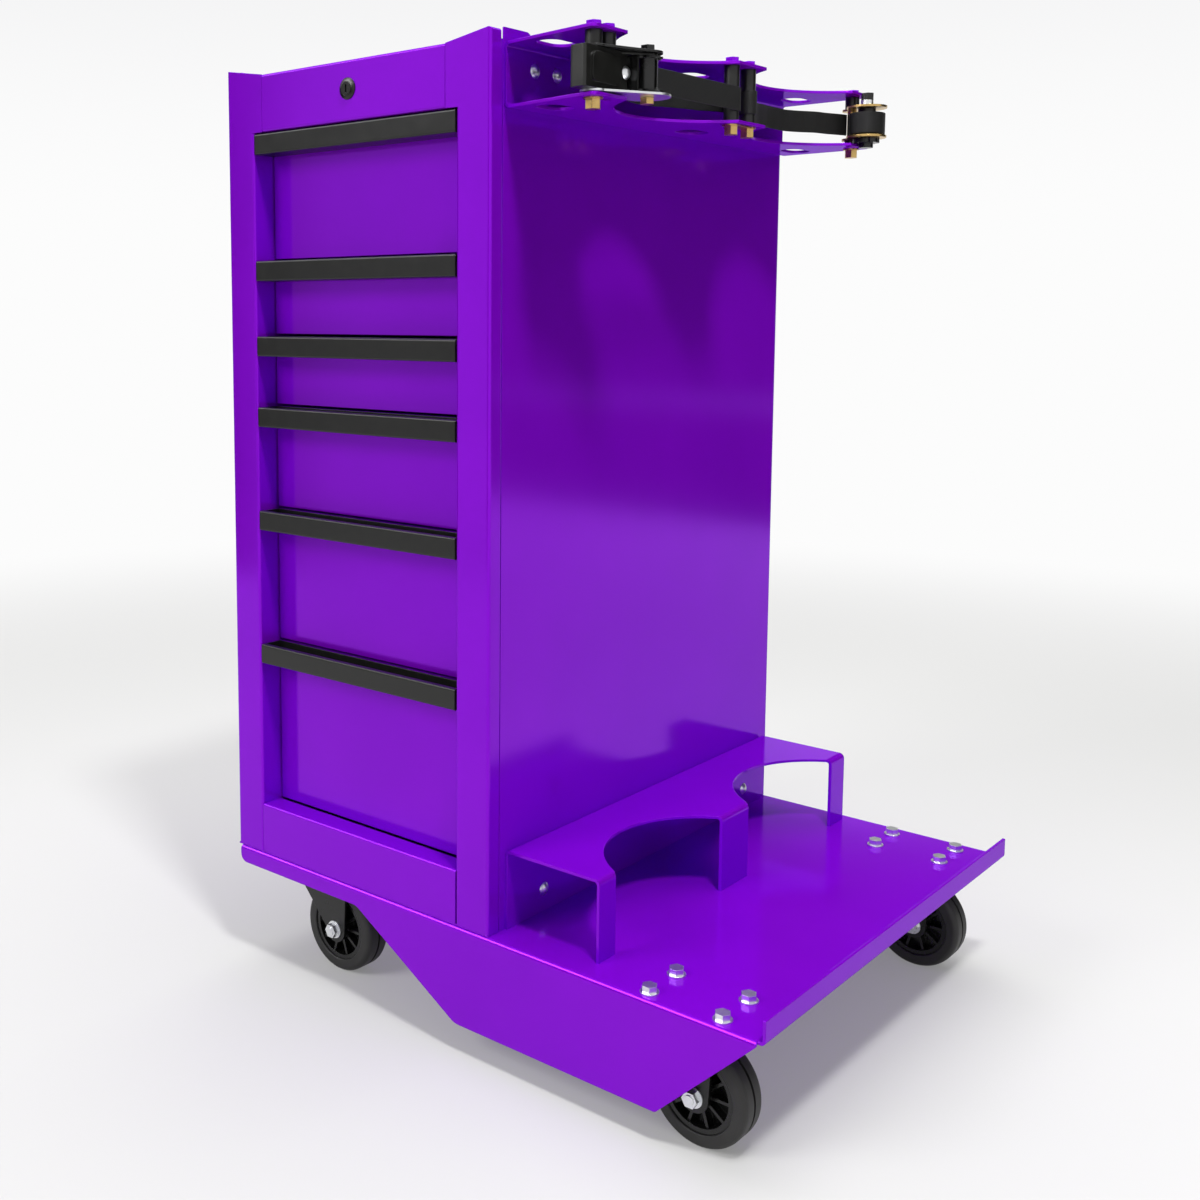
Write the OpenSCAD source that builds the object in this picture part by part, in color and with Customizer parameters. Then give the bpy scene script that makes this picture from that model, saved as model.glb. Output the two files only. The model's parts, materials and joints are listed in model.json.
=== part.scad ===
/* [Cabinet] */
// Width of the drawer cabinet
cab_w = 381; // [340:1:440]
// Depth of the drawer cabinet from its front plane to its back
cab_d = 559; // [520:1:600]
// Height of the cabinet from its floor to the top edge of the header
cab_h = 879; // [840:1:920]
// Rise of the outer front corners above the header
corner_rise = 9; // [5:1:14]
// Thickness of the cabinet sheet
sheet_t = 1.5; // [1.2:0.1:1.8]
// Width of each front post beside the drawers
post_w = 43; // [36:1:50]
// Depth of a front post's return on the outer side
post_wrap = 17; // [14:1:20]
// Depth of the inner return beside the drawers
jamb_d = 62; // [56:1:80]
// Width of the tab that each post carries beside the header
tab_w = 14; // [8:1:20]
// Height of the header panel
header_h = 61.5; // [54:0.5:70]
// Height of the bottom rail
rail_h = 58; // [50:1:66]
// Depth of the drawer faces behind the front plane
setback = 28.5; // [24:0.5:32]
// Depth of the recessed top tray
tray_d = 14; // [10:1:16]

/* [Drawers] */
// Share of the opening's height that each drawer takes, from the top down
height_shares = [137.5, 83, 79, 117, 153.5, 189.5]; // [75:0.5:200]
// Thickness of the drawer sheet
drawer_t = 1.2; // [0.9:0.1:1.5]
// Gap round each drawer face
face_gap = 1.5; // [1:0.1:2]
// Room between the drawer boxes and the cabinet's back end
box_room = 40.5; // [30:0.5:60]
// Height of a drawer pull
pull_h = 22; // [18:0.5:26]
// Wall of a drawer pull
pull_t = 2.2; // [1.8:0.1:2.8]
// Height of a drawer slide
slide_h = 35; // [30:1:38]
// Room for a slide on each side of a drawer
slide_w = 12.7; // [12:0.1:14]
// How much shorter the slides are than the drawer boxes
slide_short = 10; // [5:1:30]

/* [Base] */
// Length of the platform beside the cabinet
deck_ext = 309; // [280:1:340]
// Thickness of the base sheet
deck_t = 3; // [2.5:0.1:4]
// Height of the upturned lip on the platform's end
lip_h = 20; // [12:1:28]
// Depth of the deep part of the skirts below the deck
skirt_h = 103.5; // [90:0.5:110]
// Depth of the narrow strip of the skirts
strip_h = 19; // [14:0.5:26]
// Place along the cart where the skirts start to slope down
slope_from = 197; // [180:1:210]
// Place along the cart where the skirts reach their full depth
slope_to = 339; // [320:1:360]
// Distance from the platform's end to the end of the skirts' straight bottom
skirt_run = 108; // [90:1:120]

/* [Tank brackets] */
// Thickness of the bracket sheet
brk_t = 3; // [2.5:0.1:3.5]
// Reach of both brackets from the cabinet side
brk_reach = 116; // [108:1:124]
// Radius of the half-moon cuts that hold the tanks
moon_r = 114; // [108:1:118]
// Distance of the tank centres from the cabinet side
tank_out = 170; // [166:1:176]
// Distance of the front tank centre from the cabinet's front plane
tank_front = 155; // [150:1:160]
// Distance of the back tank centre from the cabinet's back
tank_back = 148; // [143:1:154]
// Height of the lower bracket
low_h = 83; // [70:1:95]
// Distance of the lower bracket's front end from the cabinet's front plane
low_front = 27; // [20:1:34]
// Distance of the lower bracket's back end from the cabinet's back
low_back = 14; // [7:1:23]
// Drop of the upper bracket's bottom face below the top edge of the header
up_drop = 65; // [62:1:75]
// Height of the upper bracket
up_h = 62; // [60:0.5:66]
// Front end of the upper bracket's web
up_y0 = 20; // [14:1:26]
// How far the front prong leans forward
up_splay = 17; // [8:1:18]

/* [Straps] */
// Width of the webbing
web_w = 24; // [20:0.5:25]
// Thickness of the webbing
web_t = 1.3; // [1:0.1:1.5]
// Outer diameter of the spacer tubes
tube_d = 16; // [14:0.5:17]
// Diameter of the tie bolts
tie_d = 8; // [6:0.5:9]
// Outer diameter of the webbing rolled on the back reel
roll_d = 43; // [38:0.5:44]

/* [Casters] */
// Height of a caster from its plate to the floor
caster_h = 132; // [126:1:140]
// Diameter of a caster wheel
wheel_d = 101.6; // [96:0.4:104]
// Width of a caster wheel
wheel_w = 32; // [28:1:34]
// Length of a caster plate
plate_l = 95; // [92:1:100]
// Width of a caster plate
plate_w = 65; // [62:1:70]
// Distance between caster bolts along the cart
bolt_dx = 76.5; // [70:0.5:78]
// Distance between caster bolts across the cart
bolt_dy = 46; // [42:0.5:48]
// Distance of a swivel caster's axle behind its kingpin
trail = 27; // [22:1:32]
// Distance of a rigid caster's axle from the middle of its plate
rigid_offset = 9; // [0:1:12]
// Diameter of a wheel axle
axle_d = 9.5; // [8:0.5:11]

/* [Hidden] */
// Overrun of every cut, and the three clearances that the pieces share
cut = 1;
run_gap = 0.08;
gap = 0.4;
seat_gap = 0.3;

// Overall places
deck_z = caster_h + deck_t;
deck_end = cab_w + deck_ext;
deck_start = 6;
tip_x = cab_w + brk_reach;
open_w = cab_w - 2 * post_w;
open_top = cab_h - header_h;
open_h = open_top - rail_h;
box_len = cab_d - setback - box_room;
slide_len = box_len - slide_short;
face_edge = 12;
low_y0 = low_front;
low_y1 = cab_d - low_back;
up_z = cab_h - up_drop;
tank_y_1 = tank_front;
tank_y_2 = cab_d - tank_back;

// Heights of the drawers, and the top of drawer number i
function total(list, i = 0) = i < len(list) ? list[i] + total(list, i + 1) : 0;
heights = open_h / total(height_shares) * height_shares;
function drawer_top(i) = i == 0 ? open_top : drawer_top(i - 1) - heights[i - 1];

// Places of the strap tightener at the front, the middle tubes and the reel at the back
anchor_out = 103;
anchor_step = 21;
middle_gap = 33;
middle_shift = 4;
spool_out = 121;
spool_in = 60;
reel_out = 125;
reel_in = 28;
ear_out = 100;
ear_in = 14;
anchor_x = cab_w + anchor_out;
anchor_y_1 = up_y0;
anchor_y_2 = up_y0 + anchor_step;
middle_y = (tank_y_1 + tank_y_2) / 2 - middle_shift;
middle_y_1 = middle_y - middle_gap / 2;
middle_y_2 = middle_y + middle_gap / 2;
spool_x = cab_w + spool_out;
spool_y = up_y0 + spool_in;
reel_x = cab_w + reel_out;
reel_y = cab_d - reel_in;
reel_anchor_x = cab_w + ear_out;
reel_anchor_y = cab_d - ear_in;

// Heights of the tightener's stack of plates, arms and toothed discs between the bracket's flanges
stack_lift = 1.5;
stack_h = 41;
fr_t = 2;
arm_t = 2;
star_t = 2;
up_in = up_z + brk_t;
up_out = up_z + up_h - brk_t;
stack_z = up_in + stack_lift;
stack_z1 = stack_z + stack_h;
arm_z0 = stack_z + fr_t + seat_gap;
arm_z1 = stack_z1 - fr_t - seat_gap;
web_z = stack_z + (stack_h - web_w) / 2;

// Handle of the tightener
grip_len = 65.4;
grip_reach = 86;
grip_depth = 17.5;
grip_in = 8.5;
grip_t = 2.5;
grip_y0 = spool_y - grip_reach;
grip_y1 = grip_y0 + grip_len;
grip_x1 = spool_x - grip_in;

// The lowest front face of the whole cart and its middle
front_y = min(-deck_t, grip_y0);
back_y = cab_d + deck_t;
mid_x = deck_end / 2;
mid_y = (front_y + back_y) / 2;

purple = [0.49, 0.06, 0.81];
black = [0.12, 0.12, 0.11];
rubber = [0.08, 0.08, 0.08];
zinc = [0.75, 0.76, 0.78];
gold = [0.79, 0.65, 0.36];

$fn = 48;

// Put a piece drawn from the cabinet's lower front left corner into the cart's own frame
module placed() {
    translate([-mid_x, -mid_y, deck_z]) children();
}

// Unit vector, and a corner of an outline turned into an arc
function unit(v) = v / norm(v);
function corner(a, b, c, r, n = 5) =
    let (u = unit(a - b), v = unit(c - b), half = acos(u * v) / 2,
        m = b + unit(u + v) * r / sin(half),
        p = b + u * r / tan(half), q = b + v * r / tan(half),
        a0 = atan2(p[1] - m[1], p[0] - m[0]),
        turn = atan2(q[1] - m[1], q[0] - m[0]) - a0,
        sweep = turn > 180 ? turn - 360 : turn < -180 ? turn + 360 : turn)
    [for (i = [0 : n]) m + r * [cos(a0 + sweep * i / n), sin(a0 + sweep * i / n)]];

// Outline with a radius at each corner
function rounded(pts, radii) = let (n = len(pts))
    [for (i = [0 : n - 1]) each radii[i] == 0 ? [pts[i]]
        : corner(pts[(i + n - 1) % n], pts[i], pts[(i + 1) % n], radii[i])];

// Rectangle from one corner, with all corners rounded
module round_rect(size, r) {
    polygon(rounded([[0, 0], [size[0], 0], size, [0, size[1]]], [r, r, r, r]));
}

// Stadium slot along Y round its middle
module slot2d(len, w) {
    square([w, len - w], center = true);
    for (s = [-1, 1]) translate([0, s * (len - w) / 2]) circle(w / 2);
}

// Extrude an outline drawn in X and Z along Y from y0 to y1
module along_y(y0, y1) {
    translate([0, y1, 0]) rotate([90, 0, 0]) linear_extrude(y1 - y0) children();
}

// Extrude an outline drawn in Y and Z along X from x0 to x1
module along_x(x0, x1) {
    translate([x0, 0, 0]) rotate([90, 0, 90]) linear_extrude(x1 - x0) children();
}

// Extrude an outline drawn in X and Y upward from z0 to z1
module along_z(z0, z1) {
    translate([0, 0, z0]) linear_extrude(z1 - z0) children();
}

module at(x, y) {
    translate([x, y, 0]) children();
}

// Upright round bar from z0 to z1
module bar(r, z0, z1) {
    translate([0, 0, z0]) cylinder(r = r, h = z1 - z0);
}

// Hexagonal nut or head from z0 to z1, with its width across flats
module hex(af, z0, z1) {
    translate([0, 0, z0]) cylinder(d = af / cos(30), h = z1 - z0, $fn = 6);
}

// Dome with its flat side on z = 0, drawn as a slice of a ball over an upright edge
module dome(r, h, edge = 0) {
    ball_r = (r * r + (h - edge) * (h - edge)) / (2 * (h - edge));
    rotate_extrude() intersection() {
        translate([0, h - ball_r]) circle(ball_r, $fn = 96);
        square([r, h]);
    }
}

// Both sides of the cabinet, from a piece drawn on the left one
module mirror_side() {
    children();
    translate([cab_w, 0, 0]) mirror([1, 0, 0]) children();
}

// Base plate

bend_r = 5;
hole_gap = 0.5;
nick_r = 1;
base_bolt_d = 8;
caster_in = 87;
caster_front = 35;
caster_back = 45.5;
left_caster_x = 92;
left_caster_in = 61;
caster_x = deck_end - caster_in;
caster_places = [[left_caster_x, left_caster_in], [left_caster_x, cab_d - left_caster_in],
    [caster_x, caster_front], [caster_x, cab_d - caster_back]];
floor_bolt_in = 70;
floor_bolts = [for (x = [cab_w - floor_bolt_in, cab_w / 2], y = [cab_d / 3, 2 * cab_d / 3]) [x, y]];

module at_caster_bolts(which = [0 : 3]) {
    for (i = which, sx = [-1, 1], sy = [-1, 1])
        at(caster_places[i][0] + sx * bolt_dx / 2, caster_places[i][1] + sy * bolt_dy / 2) children();
}

module at_floor_bolts() {
    for (p = floor_bolts) at(p[0], p[1]) children();
}

// Outline of a skirt seen from the front
module skirt_outline() {
    lip_start = deck_end - bend_r - deck_t;
    polygon(rounded([[deck_start, 0], [deck_start, -strip_h], [slope_from, -strip_h],
        [slope_to, -skirt_h], [deck_end - skirt_run, -skirt_h], [lip_start, -bend_r], [lip_start, 0]],
        [0, strip_h / 2, strip_h, strip_h, strip_h / 3, nick_r, 0]));
}

// Sheet bent down at the front and back, drawn in Y and Z
module deck_section() {
    difference() {
        polygon(rounded([[-deck_t, -skirt_h - cut], [-deck_t, 0], [back_y, 0], [back_y, -skirt_h - cut]],
            [0, bend_r, bend_r, 0]));
        polygon(rounded([[0, -skirt_h - 2 * cut], [0, -deck_t], [cab_d, -deck_t],
            [cab_d, -skirt_h - 2 * cut]], [0, bend_r - deck_t, bend_r - deck_t, 0]));
    }
}

module base_plate() {
    lip_start = deck_end - bend_r - deck_t;
    color(purple) placed() difference() {
        union() {
            intersection() {
                along_x(deck_start, lip_start) deck_section();
                along_y(-deck_t - cut, back_y + cut) skirt_outline();
            }
            along_y(0, cab_d) difference() {
                polygon(rounded([[lip_start - cut, -deck_t], [deck_end, -deck_t], [deck_end, lip_h],
                    [lip_start - cut, lip_h]], [0, bend_r, 0, 0]));
                polygon(rounded([[lip_start - 2 * cut, 0], [deck_end - deck_t, 0],
                    [deck_end - deck_t, lip_h + cut], [lip_start - 2 * cut, lip_h + cut]],
                    [0, bend_r - deck_t, 0, 0]));
            }
        }
        at_caster_bolts() bar((base_bolt_d + hole_gap) / 2, -deck_t - cut, cut);
        at_floor_bolts() bar((base_bolt_d + hole_gap) / 2, -deck_t - cut, cut);
    }
}

// Cabinet shell

ear_h = 10.5;
ear_gap = 1;
ear_len = 44;
ear_r = 8;
ear_y0 = post_wrap + ear_gap;
ear_y1 = ear_y0 + ear_len;
side_r = 3;
flange_w = 18;

// Outline of a side panel, drawn in Y and Z, with the raised ear behind the post
module side_outline() {
    polygon(rounded([[ear_y0, sheet_t], [cab_d - sheet_t, sheet_t], [cab_d - sheet_t, cab_h],
        [ear_y1, cab_h], [ear_y1, cab_h + ear_h], [ear_y0 + nick_r, cab_h + ear_h]],
        [0, 0, 0, 0, ear_r, nick_r]));
}

// Side panel on the left, with the lap under the post and flanges at its foot and back
module side_panel() {
    along_x(0, sheet_t) side_outline();
    translate([sheet_t, side_r + sheet_t, sheet_t])
        cube([sheet_t, jamb_d - side_r - sheet_t, cab_h - 2 * sheet_t]);
    translate([sheet_t, jamb_d, sheet_t]) cube([flange_w, cab_d - sheet_t - jamb_d, sheet_t]);
    translate([sheet_t, cab_d - 2 * sheet_t, 2 * sheet_t])
        cube([flange_w, sheet_t, cab_h - 2 * sheet_t - tray_d]);
}

module cabinet_side_left() {
    color(purple) placed() side_panel();
}

module cabinet_side_right() {
    color(purple) placed() translate([cab_w, 0, 0]) mirror([1, 0, 0]) difference() {
        side_panel();
        at_bracket_bolts(-cut, 2 * sheet_t + cut) circle((brk_bolt_d + hole_gap) / 2);
    }
}

// Plan of a front post on the left: outer return, face and inner return beside the drawers
module post_plan() {
    difference() {
        polygon(rounded([[0, post_wrap], [0, 0], [post_w, 0], [post_w, jamb_d], [post_w - flange_w, jamb_d],
            [post_w - flange_w, jamb_d - sheet_t], [post_w - sheet_t, jamb_d - sheet_t],
            [post_w - sheet_t, post_wrap]], [0, side_r, side_r, 0, 0, 0, 0, 0]));
        polygon(rounded([[sheet_t, post_wrap + cut], [sheet_t, sheet_t], [post_w - sheet_t, sheet_t],
            [post_w - sheet_t, post_wrap + cut]], [0, side_r - sheet_t, side_r - sheet_t, 0]));
    }
}

// Front view of a post: sloped top, and the tab beside the header
module post_front() {
    polygon(rounded([[0, 0], [post_w, 0], [post_w, open_top], [post_w + tab_w, open_top],
        [post_w + tab_w, cab_h], [0, cab_h + corner_rise]], [0, 0, 0, 0, 0, side_r]));
}

// Wall plan of the tab
module tab_plan() {
    translate([post_w - side_r, 0]) square([tab_w + side_r, sheet_t]);
}

module front_posts() {
    color(purple) placed() mirror_side() intersection() {
        union() {
            along_z(sheet_t, cab_h - tray_d) post_plan();
            along_z(sheet_t, cab_h + corner_rise) intersection() {
                post_plan();
                square([post_w, header_d]);
            }
            along_z(open_top, cab_h + corner_rise) tab_plan();
        }
        along_y(-cut, jamb_d + cut) post_front();
    }
}

slide_lap = 30;
rear_post_d = 40;
rear_post_y = setback + slide_len - slide_lap;

// Two folded columns behind the drawers, each a channel open to the side panel
module rear_posts() {
    color(purple) placed() mirror_side() along_z(2 * sheet_t, cab_h - tray_d - sheet_t)
        translate([sheet_t, rear_post_y]) difference() {
            round_rect([post_w - sheet_t, rear_post_d], side_r);
            translate([-cut, sheet_t])
                round_rect([post_w - 2 * sheet_t + cut, rear_post_d - 2 * sheet_t], side_r - sheet_t);
        }
}

module cabinet_back() {
    color(purple) placed() translate([0, cab_d - sheet_t, sheet_t])
        cube([cab_w, sheet_t, cab_h - sheet_t]);
}

// Tray recessed below the top edges, its rim turned up on all sides
module cabinet_top() {
    tray_y0 = post_wrap;
    color(purple) placed() difference() {
        translate([2 * sheet_t, tray_y0, cab_h - tray_d])
            cube([cab_w - 4 * sheet_t, cab_d - 2 * sheet_t - tray_y0, tray_d]);
        translate([3 * sheet_t, tray_y0 + sheet_t, cab_h - tray_d + sheet_t])
            cube([cab_w - 6 * sheet_t, cab_d - 4 * sheet_t - tray_y0, tray_d]);
    }
}

module cabinet_floor() {
    color(purple) placed() difference() {
        cube([cab_w, cab_d, sheet_t]);
        at_floor_bolts() bar((base_bolt_d + hole_gap) / 2, -cut, sheet_t + cut);
        at_caster_bolts([0, 1]) bar((base_bolt_d + hole_gap) / 2, -cut, sheet_t + cut);
    }
}

lock_drop = 29;
lock_r = 8.5;
lock_dome_r = 11;
lock_dome_h = 4;
lock_edge = 1;
lock_nut_h = 5;
lock_nut_af = 22;
barrel_r = 7;
barrel_len = 24;
header_x0 = post_w + tab_w + gap;
header_d = 15.5;

module at_lock() {
    translate([cab_w / 2, 0, cab_h - lock_drop]) rotate([90, 0, 0]) children();
}

// Header: face, turned back at its top and bottom edges
module header_panel() {
    color(purple) placed() difference() {
        along_x(header_x0, cab_w - header_x0) difference() {
            translate([0, open_top]) round_rect([header_d, header_h], side_r);
            translate([sheet_t, open_top + sheet_t])
                round_rect([header_d, header_h - 2 * sheet_t], side_r - sheet_t);
        }
        at_lock() bar(lock_r + hole_gap / 2, -header_d - cut, cut);
    }
}

// Rail: face, ledge back to the drawers and a lip behind
module bottom_rail() {
    color(purple) placed() along_x(post_w + gap, cab_w - post_w - gap) difference() {
        polygon(rounded([[0, sheet_t], [setback, sheet_t], [setback, rail_h], [0, rail_h]],
            [0, 0, side_r, side_r]));
        polygon(rounded([[sheet_t, -cut], [setback - sheet_t, -cut], [setback - sheet_t, rail_h - sheet_t],
            [sheet_t, rail_h - sheet_t]], [0, 0, side_r - sheet_t, side_r - sheet_t]));
    }
}

// Lock: domed collar and threaded housing, with a bore for the cylinder
module lock_housing() {
    nut_z1 = -sheet_t - gap;
    color(black) placed() at_lock() difference() {
        union() {
            dome(lock_dome_r, lock_dome_h, lock_edge);
            bar(lock_r, -barrel_len, lock_edge);
            hex(lock_nut_af, nut_z1 - lock_nut_h, nut_z1);
        }
        bar(barrel_r + run_gap, -barrel_len - cut, lock_dome_h + cut);
    }
}

// Turning cylinder with its key slot, and the cam on its inner end
module lock_cylinder() {
    key_w = 2;
    key_l = 8;
    cam_l = 24;
    cam_t = 2;
    cam_z = -barrel_len - gap - cam_t;
    color(zinc) placed() at_lock() {
        difference() {
            bar(barrel_r, cam_z, lock_dome_h - lock_edge);
            translate([-key_w / 2, -key_l / 2, 0]) cube([key_w, key_l, lock_dome_h]);
        }
        translate([0, 0, cam_z]) {
            translate([-barrel_r, -cam_l, 0]) cube([2 * barrel_r, cam_l, cam_t]);
            translate([0, -cam_l, 0]) cylinder(r = barrel_r, h = cam_t);
        }
    }
}

// Drawers

box_x0 = post_w + slide_w;
box_w = cab_w - 2 * box_x0;
face_w = open_w - 2 * face_gap;
side_drop = 34;
box_lift = 7;
slide_lift = 10;
mem_t = 1.2;

// Middle height of the slides of drawer i
function slide_mid(i) = drawer_top(i) - heights[i] + slide_lift + slide_h / 2;

// Section of one slide member, drawn in X and Z round its middle: a channel open toward +X
module member(x0, depth, h) {
    translate([x0, -h / 2]) difference() {
        square([depth, h]);
        translate([mem_t, mem_t]) square([depth, h - 2 * mem_t]);
    }
}

mem_step = mem_t + gap;
outer_depth = slide_w - mem_step - gap;
weld = drawer_t / 2;

// Drawer: folded box, recessed face with hemmed edges, and its inner slide members
module drawer(i) {
    top = drawer_top(i);
    h = heights[i];
    bottom = top - h;
    side_h = h - side_drop;
    color(purple) placed() {
        translate([post_w + face_gap, setback, bottom + face_gap]) difference() {
            cube([face_w, face_edge, h - 2 * face_gap]);
            translate([drawer_t, drawer_t, drawer_t])
                cube([face_w - 2 * drawer_t, face_edge, h - 2 * face_gap - 2 * drawer_t]);
        }
        translate([box_x0, setback + drawer_t, bottom + box_lift]) difference() {
            cube([box_w, box_len, side_h]);
            translate([drawer_t, drawer_t, drawer_t])
                cube([box_w - 2 * drawer_t, box_len - 2 * drawer_t, side_h]);
        }
    }
    color(zinc) placed() mirror_side() translate([box_x0 + weld, 0, slide_mid(i)])
        along_y(setback + face_edge + gap, setback + slide_len)
            mirror([1, 0, 0]) member(0, slide_w - 2 * mem_step + weld, slide_h - 4 * mem_step);
}

module drawer_1() drawer(0);
module drawer_2() drawer(1);
module drawer_3() drawer(2);
module drawer_4() drawer(3);
module drawer_5() drawer(4);
module drawer_6() drawer(5);

// Pull: a channel along the top of the face, open upward, with end caps
module pull(i) {
    top = drawer_top(i) - face_gap;
    cap = 2;
    lip = 6;
    nose_r = 2;
    z0 = top - pull_h;
    color(black) placed() {
        along_x(post_w + face_gap, post_w + face_gap + face_w) difference() {
            polygon(rounded([[0, z0], [setback, z0], [setback, top], [setback - pull_t, top],
                [setback - pull_t, z0 + pull_h / 2], [setback / 2, z0 + pull_t], [pull_t, z0 + pull_t],
                [pull_t, top - pull_t], [lip, top - pull_t], [lip, top], [0, top]],
                [nose_r, 0, 0, 0, pull_h / 4, 0, 0, 0, 0, 0, nose_r]));
        }
        for (x = [post_w + face_gap, post_w + face_gap + face_w - cap])
            along_x(x, x + cap) translate([0, z0]) round_rect([setback, pull_h], nose_r);
    }
}

module drawer_pull_1() pull(0);
module drawer_pull_2() pull(1);
module drawer_pull_3() pull(2);
module drawer_pull_4() pull(3);
module drawer_pull_5() pull(4);
module drawer_pull_6() pull(5);

// Outer members of all slides, fixed to the posts
module slide_outer() {
    color(zinc) placed() mirror_side() for (i = [0 : len(heights) - 1])
        translate([post_w, 0, slide_mid(i)])
            along_y(setback + face_edge + gap, setback + slide_len) member(0, outer_depth, slide_h);
}

// Middle members of the slides of drawer i
module slide_middle(i) {
    color(zinc) placed() mirror_side() translate([post_w, 0, slide_mid(i)])
        along_y(setback + face_edge + gap, setback + slide_len)
            member(mem_step, outer_depth - mem_step, slide_h - 2 * mem_step);
}

module slide_middle_1() slide_middle(0);
module slide_middle_2() slide_middle(1);
module slide_middle_3() slide_middle(2);
module slide_middle_4() slide_middle(3);
module slide_middle_5() slide_middle(4);
module slide_middle_6() slide_middle(5);

// Tank brackets

brk_r = 6;
tip_r = 5;
brk_bolt_d = 8;
brk_bolt_drop = 22.5;
brk_bolt_in = 63.5;
brk_bolt_step = 35.2;
brk_bolt_z = up_z + up_h - brk_bolt_drop;
brk_bolt_ys = [brk_bolt_in, brk_bolt_in + brk_bolt_step, cab_d - brk_bolt_in - brk_bolt_step,
    cab_d - brk_bolt_in];
low_bolt_z = 24;
low_bolt_front = 61;
low_bolt_back = 45;
low_bolt_ys = [low_y0 + low_bolt_front, low_y1 - low_bolt_back];
slot_w = 26;
slot_len = 44;
slot_out = 40;
slot_front = 28;
slot_shift = 10;
slot_back = 38;
slot_x = cab_w + slot_out;
slot_ys = [up_y0 + slot_front, middle_y + slot_shift, cab_d - slot_back];

// Holes through the cabinet side for the bracket bolts, drawn along X from x0 to x1
module at_bracket_bolts(x0, x1) {
    for (y = brk_bolt_ys) along_x(x0, x1) translate([y, brk_bolt_z]) children();
    for (y = low_bolt_ys) along_x(x0, x1) translate([y, low_bolt_z]) children();
}

module tank_moons() {
    for (y = [tank_y_1, tank_y_2]) translate([cab_w + tank_out, y]) circle(moon_r, $fn = 128);
}

// Lower bracket: flange on the cabinet, top with two half-moons, and three legs to the deck
module lower_bracket() {
    color(purple) placed() difference() {
        along_y(low_y0, low_y1) difference() {
            polygon(rounded([[cab_w, 0], [cab_w, low_h], [tip_x, low_h], [tip_x, 0]],
                [0, brk_r, brk_r, 0]));
            polygon(rounded([[cab_w + brk_t, -cut], [cab_w + brk_t, low_h - brk_t],
                [tip_x - brk_t, low_h - brk_t], [tip_x - brk_t, -cut]],
                [0, brk_r - brk_t, brk_r - brk_t, 0]));
        }
        along_z(-cut, low_h + cut) tank_moons();
        for (y = low_bolt_ys) along_x(cab_w - cut, cab_w + brk_t + cut)
            translate([y, low_bolt_z]) circle((brk_bolt_d + hole_gap) / 2);
    }
}

// Plan of the upper bracket with its prongs, half-moons, slots and tie holes
module upper_plan() {
    difference() {
        polygon(rounded([[cab_w, up_y0], [tip_x, up_y0 - up_splay], [tip_x, cab_d], [cab_w, cab_d]],
            [0, tip_r, tip_r, 0]));
        tank_moons();
        for (y = slot_ys) translate([slot_x, y]) slot2d(slot_len, slot_w);
        for (p = tie_places) translate([p[0], p[1]]) circle((tie_d + hole_gap) / 2);
    }
}

module upper_bracket() {
    color(purple) placed() difference() {
        intersection() {
            along_y(up_y0 - up_splay, cab_d) difference() {
                polygon(rounded([[cab_w, up_z], [tip_x + cut, up_z], [tip_x + cut, up_z + up_h],
                    [cab_w, up_z + up_h]], [brk_r, 0, 0, brk_r]));
                polygon(rounded([[cab_w + brk_t, up_in], [tip_x + 2 * cut, up_in],
                    [tip_x + 2 * cut, up_out], [cab_w + brk_t, up_out]],
                    [brk_r - brk_t, 0, 0, brk_r - brk_t]));
            }
            along_z(up_z - cut, up_z + up_h + cut) upper_plan();
        }
        for (y = brk_bolt_ys) along_x(cab_w - cut, cab_w + brk_t + cut)
            translate([y, brk_bolt_z]) circle((brk_bolt_d + hole_gap) / 2);
    }
}

// Places of the tie bolts: front pair, middle pair and back one
tie_places = [[anchor_x, anchor_y_1], [anchor_x, anchor_y_2], [anchor_x, middle_y_1],
    [anchor_x, middle_y_2], [reel_anchor_x, reel_anchor_y]];

module at_tie(i) {
    at(tie_places[i][0], tie_places[i][1]) children();
}

// Tube of radius r on a tie bolt
module tube(z0, z1, r = tube_d / 2) {
    difference() {
        bar(r, z0, z1);
        bar((tie_d + hole_gap) / 2, z0 - cut, z1 + cut);
    }
}

// Black tubes on the tie bolts, above and below the tightener and reel, and full height at the middle
module spacer_tubes() {
    color(black) placed() {
        for (i = [0, 1]) at_tie(i) {
            tube(up_in, stack_z);
            tube(stack_z1, up_out);
        }
        for (i = [2, 3]) at_tie(i) tube(up_in, up_out);
        at_tie(4) {
            tube(up_in, reel_z0);
            tube(reel_z1, up_out);
        }
    }
}

nut_h = 9;
head_h = 5;
washer_t = 1.5;
tie_af = 13;
tie_washer_r = 9;
tie_plate_w = 16;

// Tie bolts with heads on top, nuts below, and one washer plate under the middle pair.
// The second bolt at the front ends in the tightener's lower plate.
module tie_bolts() {
    top = up_z + up_h;
    nut_z1 = up_z - washer_t;
    color(gold) placed() {
        for (i = [0, 2, 3, 4]) at_tie(i) {
            bar(tie_d / 2, nut_z1 - nut_h, top);
            hex(tie_af, top, top + head_h);
            hex(tie_af, nut_z1 - nut_h, nut_z1);
            bar(tie_washer_r, nut_z1, up_z);
        }
        at_tie(1) {
            bar(tie_d / 2, stack_z, top);
            hex(tie_af, top, top + head_h);
        }
        at(anchor_x, middle_y) along_z(nut_z1, up_z) slot2d(middle_gap + tie_plate_w, tie_plate_w);
    }
}

// Zinc bolts of the casters, the cabinet floor and the brackets

flange_r = 9;
flange_h = 1.5;
hex_af = 13;
hex_h = 6;
thread_end = 1;
round_head_r = 7.2;
round_head_h = 3.5;

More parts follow.
